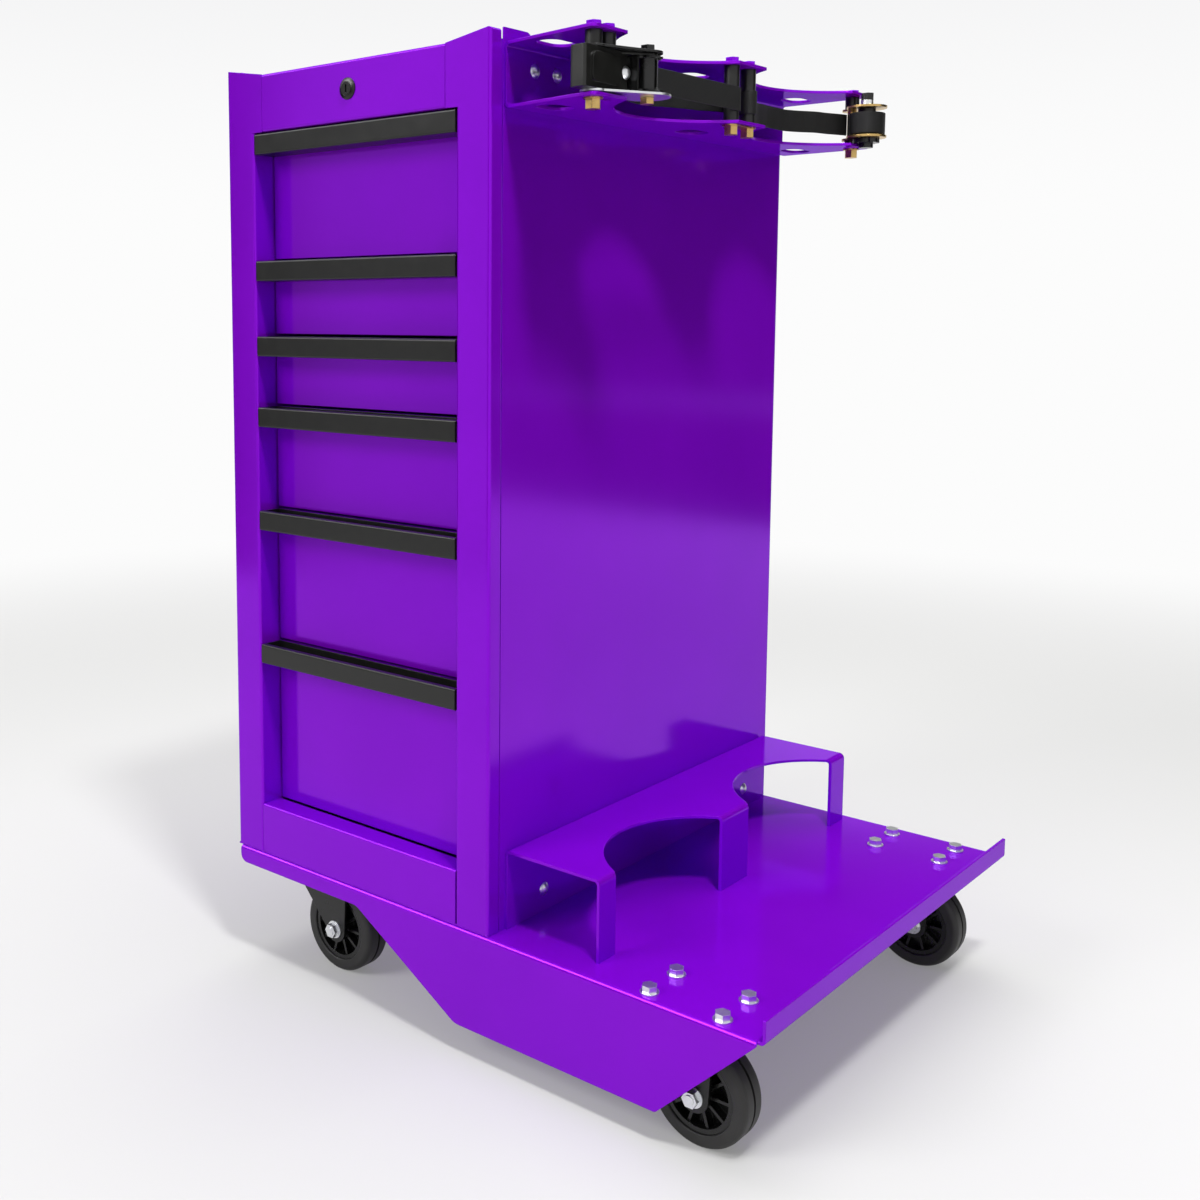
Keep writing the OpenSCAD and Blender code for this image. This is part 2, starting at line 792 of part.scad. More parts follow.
// Bolt with a flanged hex head above z = 0 and its nut below
module flange_bolt(down) {
    bar(base_bolt_d / 2, -down - hex_h - thread_end, 0);
    bar(flange_r, 0, flange_h);
    hex(hex_af, flange_h, flange_h + hex_h);
    hex(hex_af, -down - hex_h, -down);
}

module zinc_bolts() {
    color(zinc) placed() {
        at_caster_bolts([0, 1]) translate([0, 0, sheet_t])
            flange_bolt(sheet_t + deck_t + caster_plate_t);
        at_caster_bolts([2, 3]) flange_bolt(deck_t + caster_plate_t);
        at_floor_bolts() translate([0, 0, sheet_t]) flange_bolt(deck_t + sheet_t);
        for (y = brk_bolt_ys) translate([cab_w + brk_t, y, brk_bolt_z]) round_bolt();
        for (y = low_bolt_ys) translate([cab_w + brk_t, y, low_bolt_z]) round_bolt();
    }
}

// Round-headed bolt along X, with its nut inside the cabinet
module round_bolt() {
    inside = brk_t + 2 * sheet_t;
    rotate([0, 90, 0]) {
        bar(brk_bolt_d / 2, -inside - hex_h - thread_end, 0);
        dome(round_head_r, round_head_h);
        hex(hex_af, -inside - hex_h, -inside);
    }
}

// Strap tightener at the front

pin_r = 4;
drum_r = 9.5;
star_r = 14;
post_r = 5.2;
eye_low_r = 22;
eye_up_r = 14;
cheek_w = 24;
end_hex_af = 12;
end_hex_h = 5.7;

// Outline of a frame plate: eye round the spool and an arm to the two anchors
module tightener_plate(eye) {
    side_share = [0.9, 0.43];
    difference() {
        union() {
            translate([spool_x, spool_y]) circle(eye, $fn = 64);
            translate([anchor_x, anchor_y_1]) circle(cheek_w / 2);
            polygon([[anchor_x - cheek_w / 2, anchor_y_1], [anchor_x + cheek_w / 2, anchor_y_1],
                [spool_x + eye * side_share[0], spool_y - eye * side_share[1]], [spool_x - eye, spool_y],
                [anchor_x - cheek_w / 2, spool_y - eye]]);
        }
        for (y = [anchor_y_1, anchor_y_2]) translate([anchor_x, y]) circle((tie_d + hole_gap) / 2);
        translate([spool_x, spool_y]) circle(pin_r + run_gap);
    }
}

module tightener_frame() {
    color(zinc) placed() {
        along_z(stack_z, stack_z + fr_t) tightener_plate(eye_low_r);
        along_z(stack_z1 - fr_t, stack_z1) tightener_plate(eye_up_r);
        for (i = [0, 1]) at_tie(i) tube(stack_z + fr_t, stack_z1 - fr_t, post_r);
    }
}

arm_r = 9;
arm_w = 16;
pad_t = 2.5;
pad_in = 9;
pad_edge = 5;
pad_r = 6;
hook_t = 16;
grip_outer_r = 4;
grip_inner_r = 3;
button_r = 6.3;
button_h = 3.5;
button_in = 63;
stem_r = 3.15;
pawl_travel = 3;
pawl_t = 2;
tongue_t = 1.6;
button_z = (arm_z0 + arm_z1) / 2;
button_y = grip_y0 + button_in;

// Outline of a handle arm, from the grip to the spool pin
module arm_plan() {
    difference() {
        union() {
            translate([spool_x, spool_y]) circle(arm_r);
            polygon([[grip_x1 - grip_t, grip_y1 - arm_r], [grip_x1, grip_y1 - arm_r],
                [spool_x + arm_r, spool_y], [spool_x - arm_r, spool_y],
                [grip_x1 - arm_w / 2, spool_y - arm_w]]);
        }
        translate([spool_x, spool_y]) circle(pin_r + run_gap);
    }
}

// Handle: thick grip face with a raised pad, closed hooked end, a notch for the button's stem,
// and two arms on the spool pin
module tightener_handle() {
    hook_y = grip_y0 + hook_t;
    pad_y0 = grip_y0 + pad_in;
    pad_y1 = button_y - button_r - pawl_travel - cut;
    notch_r = stem_r + gap;
    color(black) placed() difference() {
        union() {
            along_z(arm_z0, arm_z1) polygon(rounded([[grip_x1 - grip_depth, grip_y0], [grip_x1, grip_y0],
                [grip_x1, grip_y1], [grip_x1 - grip_t, grip_y1], [grip_x1 - grip_t, hook_y],
                [grip_x1 - grip_depth, hook_y]], [grip_outer_r, grip_inner_r, 0, 0, grip_inner_r, nick_r]));
            along_x(grip_x1 - grip_t / 2, grip_x1 + pad_t) translate([pad_y0, arm_z0 + pad_edge])
                round_rect([pad_y1 - pad_y0, arm_z1 - arm_z0 - 2 * pad_edge], pad_r);
            for (z = [arm_z0, arm_z1 - arm_t]) along_z(z, z + arm_t) arm_plan();
        }
        along_x(grip_x1 - grip_t - cut, grip_x1 + pad_t + cut)
            translate([button_y - pawl_travel, button_z]) {
                circle(notch_r);
                translate([0, -notch_r]) square([grip_len, 2 * notch_r]);
            }
    }
}

// Release pawl: plate across the arms, tongue behind the grip and a domed silver button
module release_pawl() {
    reach = 14;
    pawl_y = spool_y - star_r - nick_r - pawl_t;
    x1 = grip_x1 - grip_t - gap;
    plate_z0 = arm_z0 + arm_t + seat_gap;
    color(zinc) placed() {
        translate([x1 - tongue_t, pawl_y, plate_z0])
            cube([reach, pawl_t, arm_z1 - arm_t - seat_gap - plate_z0]);
        translate([x1 - tongue_t, button_y - button_r, button_z - button_r])
            cube([tongue_t, pawl_y + pawl_t - button_y + button_r, 2 * button_r]);
        translate([x1, button_y, button_z]) rotate([0, 90, 0]) {
            bar(stem_r, 0, grip_t + 2 * gap);
            translate([0, 0, grip_t + 2 * gap]) dome(button_r, button_h);
        }
    }
}

// Toothed disc outline
module star(teeth = 12) {
    root_share = 0.8;
    lean_share = 0.35;
    polygon([for (i = [0 : teeth - 1]) each [star_r * [cos(360 * i / teeth), sin(360 * i / teeth)],
        star_r * root_share * [cos(360 * (i + lean_share) / teeth), sin(360 * (i + lean_share) / teeth)]]]);
}

// Spool: pin, slotted drum, two toothed discs, and its nut and head outside the frame
module tightener_spool() {
    star_z0 = arm_z0 + arm_t + seat_gap;
    star_z1 = arm_z1 - arm_t - seat_gap;
    slit_w = 2 * web_t + gap;
    end_z0 = stack_z - seat_gap - end_hex_h;
    end_z1 = stack_z1 + seat_gap + end_hex_h;
    color(black) placed() at(spool_x, spool_y) {
        bar(pin_r, end_z0, end_z1);
        difference() {
            bar(drum_r, star_z0, star_z1);
            translate([-drum_r - cut, -slit_w / 2, web_z - seat_gap])
                cube([2 * drum_r + 2 * cut, slit_w, web_w + 2 * seat_gap]);
        }
        for (z = [star_z0, star_z1 - star_t]) along_z(z, z + star_t) star();
        hex(end_hex_af, end_z0, stack_z - seat_gap);
        hex(end_hex_af, stack_z1 + seat_gap, end_z1);
    }
}

// Strap reel at the back

reel_lift = 6;
reel_drop = 14;
reel_t = 2.5;
eye_r = 22.5;
ear_plate_r = 11;
reel_hub_r = 10;
spindle_r = 8;
collar_r = 7;
collar_h = 7;
end_af = 13;
knob_r = 15;
flute_r = 4;
flute_out = 2;
tail = 2;
reel_z0 = up_in + reel_lift;
reel_z1 = up_out - reel_drop;

// Outline of a reel plate: disc round the spool and an ear to its anchor
module reel_plate() {
    difference() {
        union() {
            translate([reel_x, reel_y]) circle(eye_r, $fn = 64);
            translate([reel_anchor_x, reel_anchor_y]) circle(ear_plate_r);
            polygon([[reel_anchor_x - ear_plate_r, reel_anchor_y], [reel_x - eye_r, reel_y],
                [reel_x, reel_y + eye_r], [reel_anchor_x, reel_anchor_y + ear_plate_r]]);
        }
        translate([reel_x, reel_y]) circle(pin_r + run_gap);
        translate([reel_anchor_x, reel_anchor_y]) circle((tie_d + hole_gap) / 2);
    }
}

module reel_frame() {
    color(gold) placed() {
        for (z = [reel_z0, reel_z1 - reel_t]) along_z(z, z + reel_t) reel_plate();
        at_tie(4) tube(reel_z0 + reel_t, reel_z1 - reel_t, post_r);
    }
}

// Reel spool: pin, hub, spacer and nut above, and the fluted knob that turns it below
module reel_spool() {
    knob_z0 = up_in + gap;
    knob_z1 = reel_z0 - gap;
    top = up_out + tail / 2;
    color(black) placed() at(reel_x, reel_y) {
        bar(pin_r, up_z - tail, top);
        bar(spindle_r, up_z - tail, knob_z1);
        bar(reel_hub_r, reel_z0 + reel_t + seat_gap, reel_z1 - reel_t - seat_gap);
        bar(collar_r, reel_z1 + seat_gap, reel_z1 + collar_h);
        hex(end_af, reel_z1 + collar_h, top);
        difference() {
            bar(knob_r, knob_z0, knob_z1);
            for (a = [0 : 60 : 300]) rotate(a) at(knob_r + flute_out, 0)
                bar(flute_r, knob_z0 - cut, knob_z1 + cut);
        }
    }
}

// Spiral of the rolled webbing: its radius grows by one pitch each turn
wind_gap = 0.5;
wind_t = 1.1;
wind_pitch = wind_t + wind_gap;
wind_steps = 24;
roll_side = 200;
wind_turns = floor((roll_d / 2 - wind_t - reel_hub_r - wind_gap) / wind_pitch);
wind_r0 = roll_d / 2 - wind_t - wind_turns * wind_pitch;
function spiral(r0) = [for (i = [0 : wind_turns * wind_steps])
    let (a = 360 * i / wind_steps, r = r0 + wind_pitch * i / wind_steps) r * [cos(a), sin(a)]];
function backward(list) = [for (i = [len(list) - 1 : -1 : 0]) list[i]];
wind_inner = spiral(wind_r0);
wind_outer = spiral(wind_r0 + wind_t);
least_gap = min([for (i = [0 : (wind_turns - 1) * wind_steps])
    norm(wind_inner[i + wind_steps] - wind_outer[i])]);
echo(least_gap_between_windings = least_gap);

// Roll of webbing on the reel: one unbroken spiral from the hub out to where the strap leaves it
module webbing_roll() {
    tuck = wind_r0 + wind_t / 2 - reel_hub_r;
    color(black) placed() at(reel_x, reel_y) along_z(web_z, web_z + web_w) rotate(roll_side) {
        polygon(concat(wind_outer, backward(wind_inner)));
        translate([reel_hub_r, -wind_t / 2]) square([tuck, wind_t]);
    }
}

// Straps

strap_gap = 0.2;
fold_gap = 0.2;
tube_wrap_r = tube_d / 2 + strap_gap + web_t / 2;
post_wrap_r = post_r + strap_gap + web_t / 2;
drum_wrap_r = drum_r + strap_gap + web_t / 2;
roll_wrap_r = roll_d / 2 + wind_gap + web_t / 2;
sewn_len = 42;
inner_bow = 34;
back_bow = 30;
bow_power = 1.3;
drum_side = 160;

function on_circle(c, r, a) = c + r * [cos(a), sin(a)];

// Angle at which a strap that winds round a circle leaves it straight for a point
function leave_angle(c, r, p) = atan2(p[1] - c[1], p[0] - c[0]) - acos(r / norm(p - c));

// Arc of a route, and a route that bows sideways between two points
function arc(c, r, a0, a1, n = 14) = [for (i = [0 : n]) on_circle(c, r, a0 + (a1 - a0) * i / n)];
function bow(p, q, depth, n = 20) = [for (i = [1 : n - 1])
    let (s = i / n) p + (q - p) * s - [depth * pow(sin(180 * s), bow_power), 0]];

// The part of a route within a length of its start, and the same part moved sideways
function within(pts, reach) = [for (p = pts) if (norm(p - pts[0]) < reach) p];
function normal_at(pts, i) = let (a = pts[max(i - 1, 0)], b = pts[min(i + 1, len(pts) - 1)],
    t = unit(b - a)) [-t[1], t[0]];
function aside(pts, d) = [for (i = [0 : len(pts) - 1]) pts[i] + d * normal_at(pts, i)];

// Strip of webbing along a route
module strip(pts) {
    color(black) placed() along_z(web_z, web_z + web_w)
        polygon(concat(aside(pts, web_t / 2), backward(aside(pts, -web_t / 2))));
}

mid_tube_1 = [anchor_x, middle_y_1];
mid_tube_2 = [anchor_x, middle_y_2];
front_post = [anchor_x, anchor_y_2];
spool_c = [spool_x, spool_y];
reel_c = [reel_x, reel_y];

// Front strap: from the spool straight to the middle tube, round it, bowed back to the front,
// and its end sewn in a loop round the front post
module strap_front() {
    start = on_circle(spool_c, drum_wrap_r, drum_side);
    wrap = arc(mid_tube_1, tube_wrap_r, 0, 180);
    run = bow(wrap[len(wrap) - 1], on_circle(front_post, post_wrap_r, 180), inner_bow);
    sewn = aside(within(backward(run), sewn_len), -web_t - fold_gap);
    loop = arc(front_post, post_wrap_r, 180, 360 + leave_angle(front_post, post_wrap_r, sewn[0]), 20);
    strip(concat([start], wrap, run, loop, sewn));
}

// Back strap: its end sewn in a loop round the second middle tube, then bowed toward the
// cabinet and out to the reel
module strap_back() {
    finish = on_circle(reel_c, roll_wrap_r, roll_side);
    run = bow(on_circle(mid_tube_2, tube_wrap_r, 180), finish, back_bow);
    sewn = aside(within(run, sewn_len), -web_t - fold_gap);
    loop = arc(mid_tube_2, tube_wrap_r, 360 + leave_angle(mid_tube_2, tube_wrap_r, sewn[0]), 180, 24);
    strip(concat(backward(sewn), loop, run, [finish]));
}

// Casters

caster_plate_t = 3.5;
plate_r = 6;
wheel_r = wheel_d / 2;
axle_z = -deck_t - caster_h + wheel_r;
plate_z1 = -deck_t;
plate_z0 = plate_z1 - caster_plate_t;
leg_t = 3;
hub_over = 3;
hub_len = wheel_w + hub_over;
leg_in = hub_len / 2 + gap;
leg_mid = leg_in + leg_t / 2;
boss_r = 15;
king_r = 6;
king_af = 17;
king_nut_h = 8.6;
race_r = 27;
race_in = 7;
race_h1 = 5;
race_h = 8;
yoke_drop = 13;
yoke_t = 3.5;
yoke_z1 = plate_z0 - yoke_drop;

module at_caster(i) {
    at(caster_places[i][0], caster_places[i][1]) children();
}

// Caster plate with its slotted bolt holes
module caster_plate() {
    difference() {
        along_z(plate_z0, plate_z1) translate([-plate_l / 2, -plate_w / 2])
            round_rect([plate_l, plate_w], plate_r);
        for (sx = [-1, 1], sy = [-1, 1]) at(sx * bolt_dx / 2, sy * bolt_dy / 2)
            bar((base_bolt_d + hole_gap) / 2, plate_z0 - cut, plate_z1 + cut);
    }
}

// Swivel plates with the upper race and the kingpin
module swivel_plates() {
    nut_z1 = yoke_z1 - yoke_t - gap;
    color(zinc) placed() for (i = [0, 1]) at_caster(i) {
        caster_plate();
        rotate_extrude() polygon([[0, plate_z0 + cut], [race_r, plate_z0 + cut],
            [race_r, plate_z0 - race_h1], [race_r - race_in, plate_z0 - race_h], [0, plate_z0 - race_h]]);
        bar(king_r, nut_z1 - king_nut_h, plate_z0);
        hex(king_af, nut_z1 - king_nut_h, nut_z1);
    }
}

// Side view of a fork leg, from the yoke down to the axle
module leg_outline(reach) {
    heel = 22;
    toe = 3;
    polygon([[-race_r, yoke_z1], [reach + boss_r + toe, yoke_z1], [reach + boss_r, axle_z],
        [reach - boss_r, axle_z], [-race_r, yoke_z1 - heel]]);
    translate([reach, axle_z]) circle(boss_r);
}

// A pair of legs from their side view, bored for the axle
module leg_pair(reach) {
    difference() {
        for (s = [-1, 1]) along_y(s * leg_mid - leg_t / 2, s * leg_mid + leg_t / 2) children();
        along_y(-leg_in - leg_t - cut, leg_in + leg_t + cut) translate([reach, axle_z])
            circle((axle_d + hole_gap) / 2);
    }
}

// Turning fork: lower race, yoke and two legs
module swivel_fork() {
    race_z1 = plate_z0 - race_h - gap;
    yoke_x1 = trail + boss_r;
    difference() {
        union() {
            leg_pair(trail) leg_outline(trail);
            along_z(yoke_z1 - yoke_t, yoke_z1) translate([-race_r, -leg_in - leg_t])
                square([race_r + yoke_x1, 2 * (leg_in + leg_t)]);
            rotate_extrude() polygon([[king_r, yoke_z1 - yoke_t], [race_r, yoke_z1 - yoke_t],
                [race_r, race_z1], [king_r, race_z1]]);
        }
        bar(king_r + run_gap, yoke_z1 - yoke_t - cut, plate_z0);
    }
}

module fork_front_left() {
    color(black) placed() at_caster(0) swivel_fork();
}

module fork_back_left() {
    color(black) placed() at_caster(1) swivel_fork();
}

// Rigid forks: plate, legs bent down from it
module rigid_forks() {
    leg_top = 29;
    color(black) placed() for (i = [2, 3]) at_caster(i) {
        caster_plate();
        leg_pair(rigid_offset) {
            polygon([[-leg_top, plate_z0 + cut], [leg_top, plate_z0 + cut],
                [rigid_offset + boss_r, axle_z], [rigid_offset - boss_r, axle_z]]);
            translate([rigid_offset, axle_z]) circle(boss_r);
        }
    }
}

// Where the wheel of caster i turns
module at_wheel(i) {
    at_caster(i) translate([i < 2 ? trail : rigid_offset, 0, axle_z]) rotate([90, 0, 0]) children();
}

core_r = 37;
groove_w = 3;
groove_d = 2.2;
tread_r = 6;
bead_r = 1.5;

module tyre(i) {
    half = wheel_w / 2;
    color(rubber) placed() at_wheel(i) rotate_extrude($fn = 96) difference() {
        polygon(rounded([[core_r, -half], [wheel_r, -half], [wheel_r, half], [core_r, half]],
            [bead_r, tread_r, tread_r, bead_r]));
        translate([wheel_r - groove_d, -groove_w / 2]) square([groove_d + cut, groove_w]);
    }
}

module tyre_front_left() tyre(0);
module tyre_back_left() tyre(1);
module tyre_front_right() tyre(2);
module tyre_back_right() tyre(3);

hub_r = 13;
rim_t = 5;
disc_t = 5;
rim_in = 2;
rib_in = 4;
rib_t = 3;
ribs = 10;

// Core: rim, thin disc, ribs and hub with the axle bore
module core(i) {
    half = wheel_w / 2;
    rim_r = core_r - rim_t / 2;
    color(black) placed() at_wheel(i) difference() {
        union() {
            rotate_extrude($fn = 64) {
                translate([core_r - rim_t, -half + rim_in]) square([rim_t, wheel_w - 2 * rim_in]);
                translate([0, -disc_t / 2]) square([rim_r, disc_t]);
                translate([0, -hub_len / 2]) square([hub_r, hub_len]);
            }
            for (k = [0 : ribs - 1]) rotate(360 * k / ribs)
                translate([hub_r - rib_t / 2, -rib_t / 2, -half + rib_in])
                    cube([rim_r - hub_r + rib_t / 2, rib_t, wheel_w - 2 * rib_in]);
        }
        bar(axle_d / 2 + run_gap, -hub_len / 2 - cut, hub_len / 2 + cut);
    }
}

module core_front_left() core(0);
module core_back_left() core(1);
module core_front_right() core(2);
module core_back_right() core(3);

axle_washer_r = 10;
axle_washer_t = 1.5;
axle_af = 14;
axle_nut_h = 6.5;

// Axle bolt with washers, head and nut
module axle(i) {
    out = leg_in + leg_t;
    face = out + axle_washer_t;
    color(zinc) placed() at_wheel(i) {
        bar(axle_d / 2, -face - axle_nut_h - thread_end, face + axle_nut_h + thread_end);
        for (z = [-face, out]) bar(axle_washer_r, z, z + axle_washer_t);
        hex(axle_af, face, face + axle_nut_h);
        hex(axle_af, -face - axle_nut_h, -face);
    }
}

module axle_front_left() axle(0);
module axle_back_left() axle(1);
module rigid_axles() {
    axle(2);
    axle(3);
}

base_plate();
cabinet_side_left();
cabinet_side_right();
front_posts();
rear_posts();
cabinet_back();
cabinet_top();
cabinet_floor();
header_panel();
bottom_rail();
lock_housing();
lock_cylinder();
drawer_1();
drawer_2();
drawer_3();
drawer_4();
drawer_5();
drawer_6();
drawer_pull_1();
drawer_pull_2();
drawer_pull_3();
drawer_pull_4();
drawer_pull_5();
drawer_pull_6();
slide_outer();
slide_middle_1();
slide_middle_2();
slide_middle_3();
slide_middle_4();
slide_middle_5();
slide_middle_6();
lower_bracket();
upper_bracket();
spacer_tubes();
tie_bolts();
zinc_bolts();
strap_front();
strap_back();
tightener_frame();
tightener_handle();
release_pawl();
tightener_spool();
reel_frame();
reel_spool();
swivel_plates();
fork_front_left();
fork_back_left();
rigid_forks();
tyre_front_left();
tyre_back_left();
tyre_front_right();
tyre_back_right();
core_front_left();
core_back_left();
core_front_right();
core_back_right();
axle_front_left();
axle_back_left();
rigid_axles();
webbing_roll();
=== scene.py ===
import json
import math
import bmesh
import bpy
import numpy as np
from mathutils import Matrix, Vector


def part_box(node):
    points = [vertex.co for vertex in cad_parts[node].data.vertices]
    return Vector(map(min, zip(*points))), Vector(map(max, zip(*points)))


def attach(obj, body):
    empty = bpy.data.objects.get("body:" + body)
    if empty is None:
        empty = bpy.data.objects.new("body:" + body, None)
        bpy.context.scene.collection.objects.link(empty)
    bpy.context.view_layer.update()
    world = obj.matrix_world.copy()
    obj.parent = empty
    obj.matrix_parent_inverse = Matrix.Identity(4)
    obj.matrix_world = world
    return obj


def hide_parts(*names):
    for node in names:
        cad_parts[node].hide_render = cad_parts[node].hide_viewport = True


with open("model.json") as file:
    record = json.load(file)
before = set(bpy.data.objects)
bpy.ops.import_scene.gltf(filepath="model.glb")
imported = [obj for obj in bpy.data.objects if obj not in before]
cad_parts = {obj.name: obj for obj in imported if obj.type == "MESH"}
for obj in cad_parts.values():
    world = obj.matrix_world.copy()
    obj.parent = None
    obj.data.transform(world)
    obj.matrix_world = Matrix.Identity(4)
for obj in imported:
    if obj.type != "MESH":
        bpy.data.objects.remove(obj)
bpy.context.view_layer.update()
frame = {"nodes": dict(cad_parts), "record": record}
nodes = frame["nodes"]
print("frame loaded:", len(nodes), "nodes")

# the photograph's camera, fitted to the cabinet's edges: places in metres, angles in radians, pixels in its
# 1200 x 1200 frame
photoView = {
    "imageSize": 1200,
    "focalPixels": 1394.5,
    "centrePixels": (444.1, 466.8),
    "place": (0.8902, -1.3059, 0.7552),
    "pitchDown": 0.109,
    "turn": 0.726,
    "sensor": 36.0,
    "farthest": 60,
}


def addCamera(view):
    data = bpy.data.cameras.new("photoCamera")
    data.sensor_width = view["sensor"]
    data.lens = view["sensor"] * view["focalPixels"] / view["imageSize"]
    half = view["imageSize"] / 2
    data.shift_x = (half - view["centrePixels"][0]) / view["imageSize"]
    data.shift_y = (view["centrePixels"][1] - half) / view["imageSize"]
    data.clip_end = view["farthest"]
    camera = bpy.data.objects.new("photoCamera", data)
    camera.location = view["place"]
    camera.rotation_euler = (math.pi / 2 - view["pitchDown"], 0, view["turn"])
    bpy.context.collection.objects.link(camera)
    bpy.context.scene.camera = camera
    return camera


addCamera(photoView)
bpy.context.scene.view_settings.view_transform = "Standard"


# turns an sRGB hex colour into the linear values that the shaders use
def linearColour(hexCode):
    parts = [int(hexCode[i:i + 2], 16) / 255 for i in (1, 3, 5)]
    return tuple(p / 12.92 if p <= 0.04045 else ((p + 0.055) / 1.055) ** 2.4 for p in parts) + (1.0,)


# adds one node with its settings and its links: links maps an input to an output socket or a plain value
def put(tree, kind, settings=None, links=None):
    node = tree.nodes.new(kind)
    for name, value in (settings or {}).items():
        setattr(node, name, value)
    for name, value in (links or {}).items():
        socket = node.inputs[name]
        if isinstance(value, bpy.types.NodeSocket):
            tree.links.new(value, socket)
        else:
            socket.default_value = value
    return node


# makes a material from one finish, or from two: the second lies where an axis is between two places, in metres
def makeMaterial(name, finish, look, other=None, otherLook=None, axis="Z", span=None):
    material = bpy.data.materials.new(name)
    material.use_nodes = True
    tree = material.node_tree
    tree.nodes.clear()
    surface = finish(tree, look)
    if other is not None:
        place = put(tree, "ShaderNodeTexCoord")
        parts = put(tree, "ShaderNodeSeparateXYZ", links={"Vector": place.outputs["Object"]})
        past = put(tree, "ShaderNodeMath", {"operation": "GREATER_THAN"}, {
            0: parts.outputs[axis], 1: span[0]})
        before = put(tree, "ShaderNodeMath", {"operation": "LESS_THAN"}, {
            0: parts.outputs[axis], 1: span[1]})
        inside = put(tree, "ShaderNodeMath", {"operation": "MULTIPLY"}, {
            0: past.outputs[0], 1: before.outputs[0]})
        mixed = put(tree, "ShaderNodeMixShader", links={
            0: inside.outputs[0], 1: surface, 2: other(tree, otherLook)})
        surface = mixed.outputs[0]
    put(tree, "ShaderNodeOutputMaterial", links={"Surface": surface})
    material.diffuse_color = linearColour(look["colour"])
    return material


edgeRays = 4  # rays that each rounded edge is worked out from

# polyester powder coat, sprayed and baked: a deep purple whose clear gloss mirrors what stands near it, with
# a faint orange peel and rounded edges; the gloss falls to nothing between two shares of a glancing view
powderCoat = {
    "colour": "#880AD4",
    "deeper": "#7D07C8",
    "sheen": "#CFA8F4",
    "metallic": 0.34,
    "gloss": 0.29,
    "glancing": (0.44, 0.84),
    "roughness": 0.12,
    "peelMm": 3.2,
    "peelHeight": 0.02,
    "peelDepthMm": 0.4,
    "cloudMm": 120,
    "edgeMm": 0.9,
}


def purplePowderCoat(tree, look):
    place = put(tree, "ShaderNodeTexCoord")
    cloud = put(tree, "ShaderNodeTexNoise", links={
        "Vector": place.outputs["Object"], "Scale": 1000 / look["cloudMm"], "Detail": 2.0})
    tone = put(tree, "ShaderNodeMix", {"data_type": "RGBA"}, {
        "Factor": cloud.outputs["Fac"], 6: linearColour(look["colour"]), 7: linearColour(look["deeper"])})
    peel = put(tree, "ShaderNodeTexNoise", links={
        "Vector": place.outputs["Object"], "Scale": 1000 / look["peelMm"], "Detail": 1.0})
    edge = put(tree, "ShaderNodeBevel", {"samples": edgeRays}, {"Radius": look["edgeMm"] / 1000})
    bump = put(tree, "ShaderNodeBump", links={
        "Strength": look["peelHeight"], "Distance": look["peelDepthMm"] / 1000, "Height": peel.outputs["Fac"],
        "Normal": edge.outputs["Normal"]})
    facing = put(tree, "ShaderNodeLayerWeight", links={"Blend": 0.5})
    gloss = put(tree, "ShaderNodeMapRange", links={
        "Value": facing.outputs["Facing"], "From Min": look["glancing"][0], "From Max": look["glancing"][1],
        "To Min": look["gloss"], "To Max": 0.0})
    shader = put(tree, "ShaderNodeBsdfPrincipled", links={
        "Base Color": tone.outputs[2], "Metallic": look["metallic"], "Roughness": look["roughness"],
        "Specular IOR Level": gloss.outputs["Result"], "Specular Tint": linearColour(look["sheen"]),
        "Normal": bump.outputs["Normal"]})
    return shader.outputs["BSDF"]


# black coated metal: satin, with a fine grain, paler rubbed patches and rounded edges
blackCoat = {
    "colour": "#0D0D0C",
    "rubbed": "#1A1A18",
    "roughness": 0.32,
    "shineSpread": (-0.06, 0.08),
    "ior": 1.45,
    "cloudMm": 14,
    "grainMm": 0.9,
    "grainHeight": 0.08,
    "grainDepthMm": 0.2,
    "edgeMm": 0.9,
}


def blackMetal(tree, look):
    place = put(tree, "ShaderNodeTexCoord")
    cloud = put(tree, "ShaderNodeTexNoise", links={
        "Vector": place.outputs["Object"], "Scale": 1000 / look["cloudMm"], "Detail": 3.0})
    tone = put(tree, "ShaderNodeMix", {"data_type": "RGBA"}, {
        "Factor": cloud.outputs["Fac"], 6: linearColour(look["colour"]), 7: linearColour(look["rubbed"])})
    shine = put(tree, "ShaderNodeMapRange", links={
        "Value": cloud.outputs["Fac"], "To Min": look["roughness"] + look["shineSpread"][0],
        "To Max": look["roughness"] + look["shineSpread"][1]})
    grain = put(tree, "ShaderNodeTexNoise", links={
        "Vector": place.outputs["Object"], "Scale": 1000 / look["grainMm"], "Detail": 2.0})
    edge = put(tree, "ShaderNodeBevel", {"samples": edgeRays}, {"Radius": look["edgeMm"] / 1000})
    bump = put(tree, "ShaderNodeBump", links={
        "Strength": look["grainHeight"], "Distance": look["grainDepthMm"] / 1000, "Height": grain.outputs["Fac"],
        "Normal": edge.outputs["Normal"]})
    shader = put(tree, "ShaderNodeBsdfPrincipled", links={
        "Base Color": tone.outputs[2], "Roughness": shine.outputs["Result"], "IOR": look["ior"],
        "Normal": bump.outputs["Normal"]})
    return shader.outputs["BSDF"]


# zinc electroplate on turned or stamped steel: bright, slightly cloudy, with fine scratches
plating = {
    "shineSpread": (-0.08, 0.1),
    "cloudMm": 9,
    "scratchMm": 0.8,
    "scratchHeight": 0.08,
    "scratchDepthMm": 0.2,
    "edgeMm": 0.4,
}
platings = {
    "brightZinc": {**plating, "colour": "#F0F1F2", "shade": "#CFD2D5", "roughness": 0.32},
    "yellowZinc": {**plating, "colour": "#E2C07A", "shade": "#A88A55", "roughness": 0.28},
}


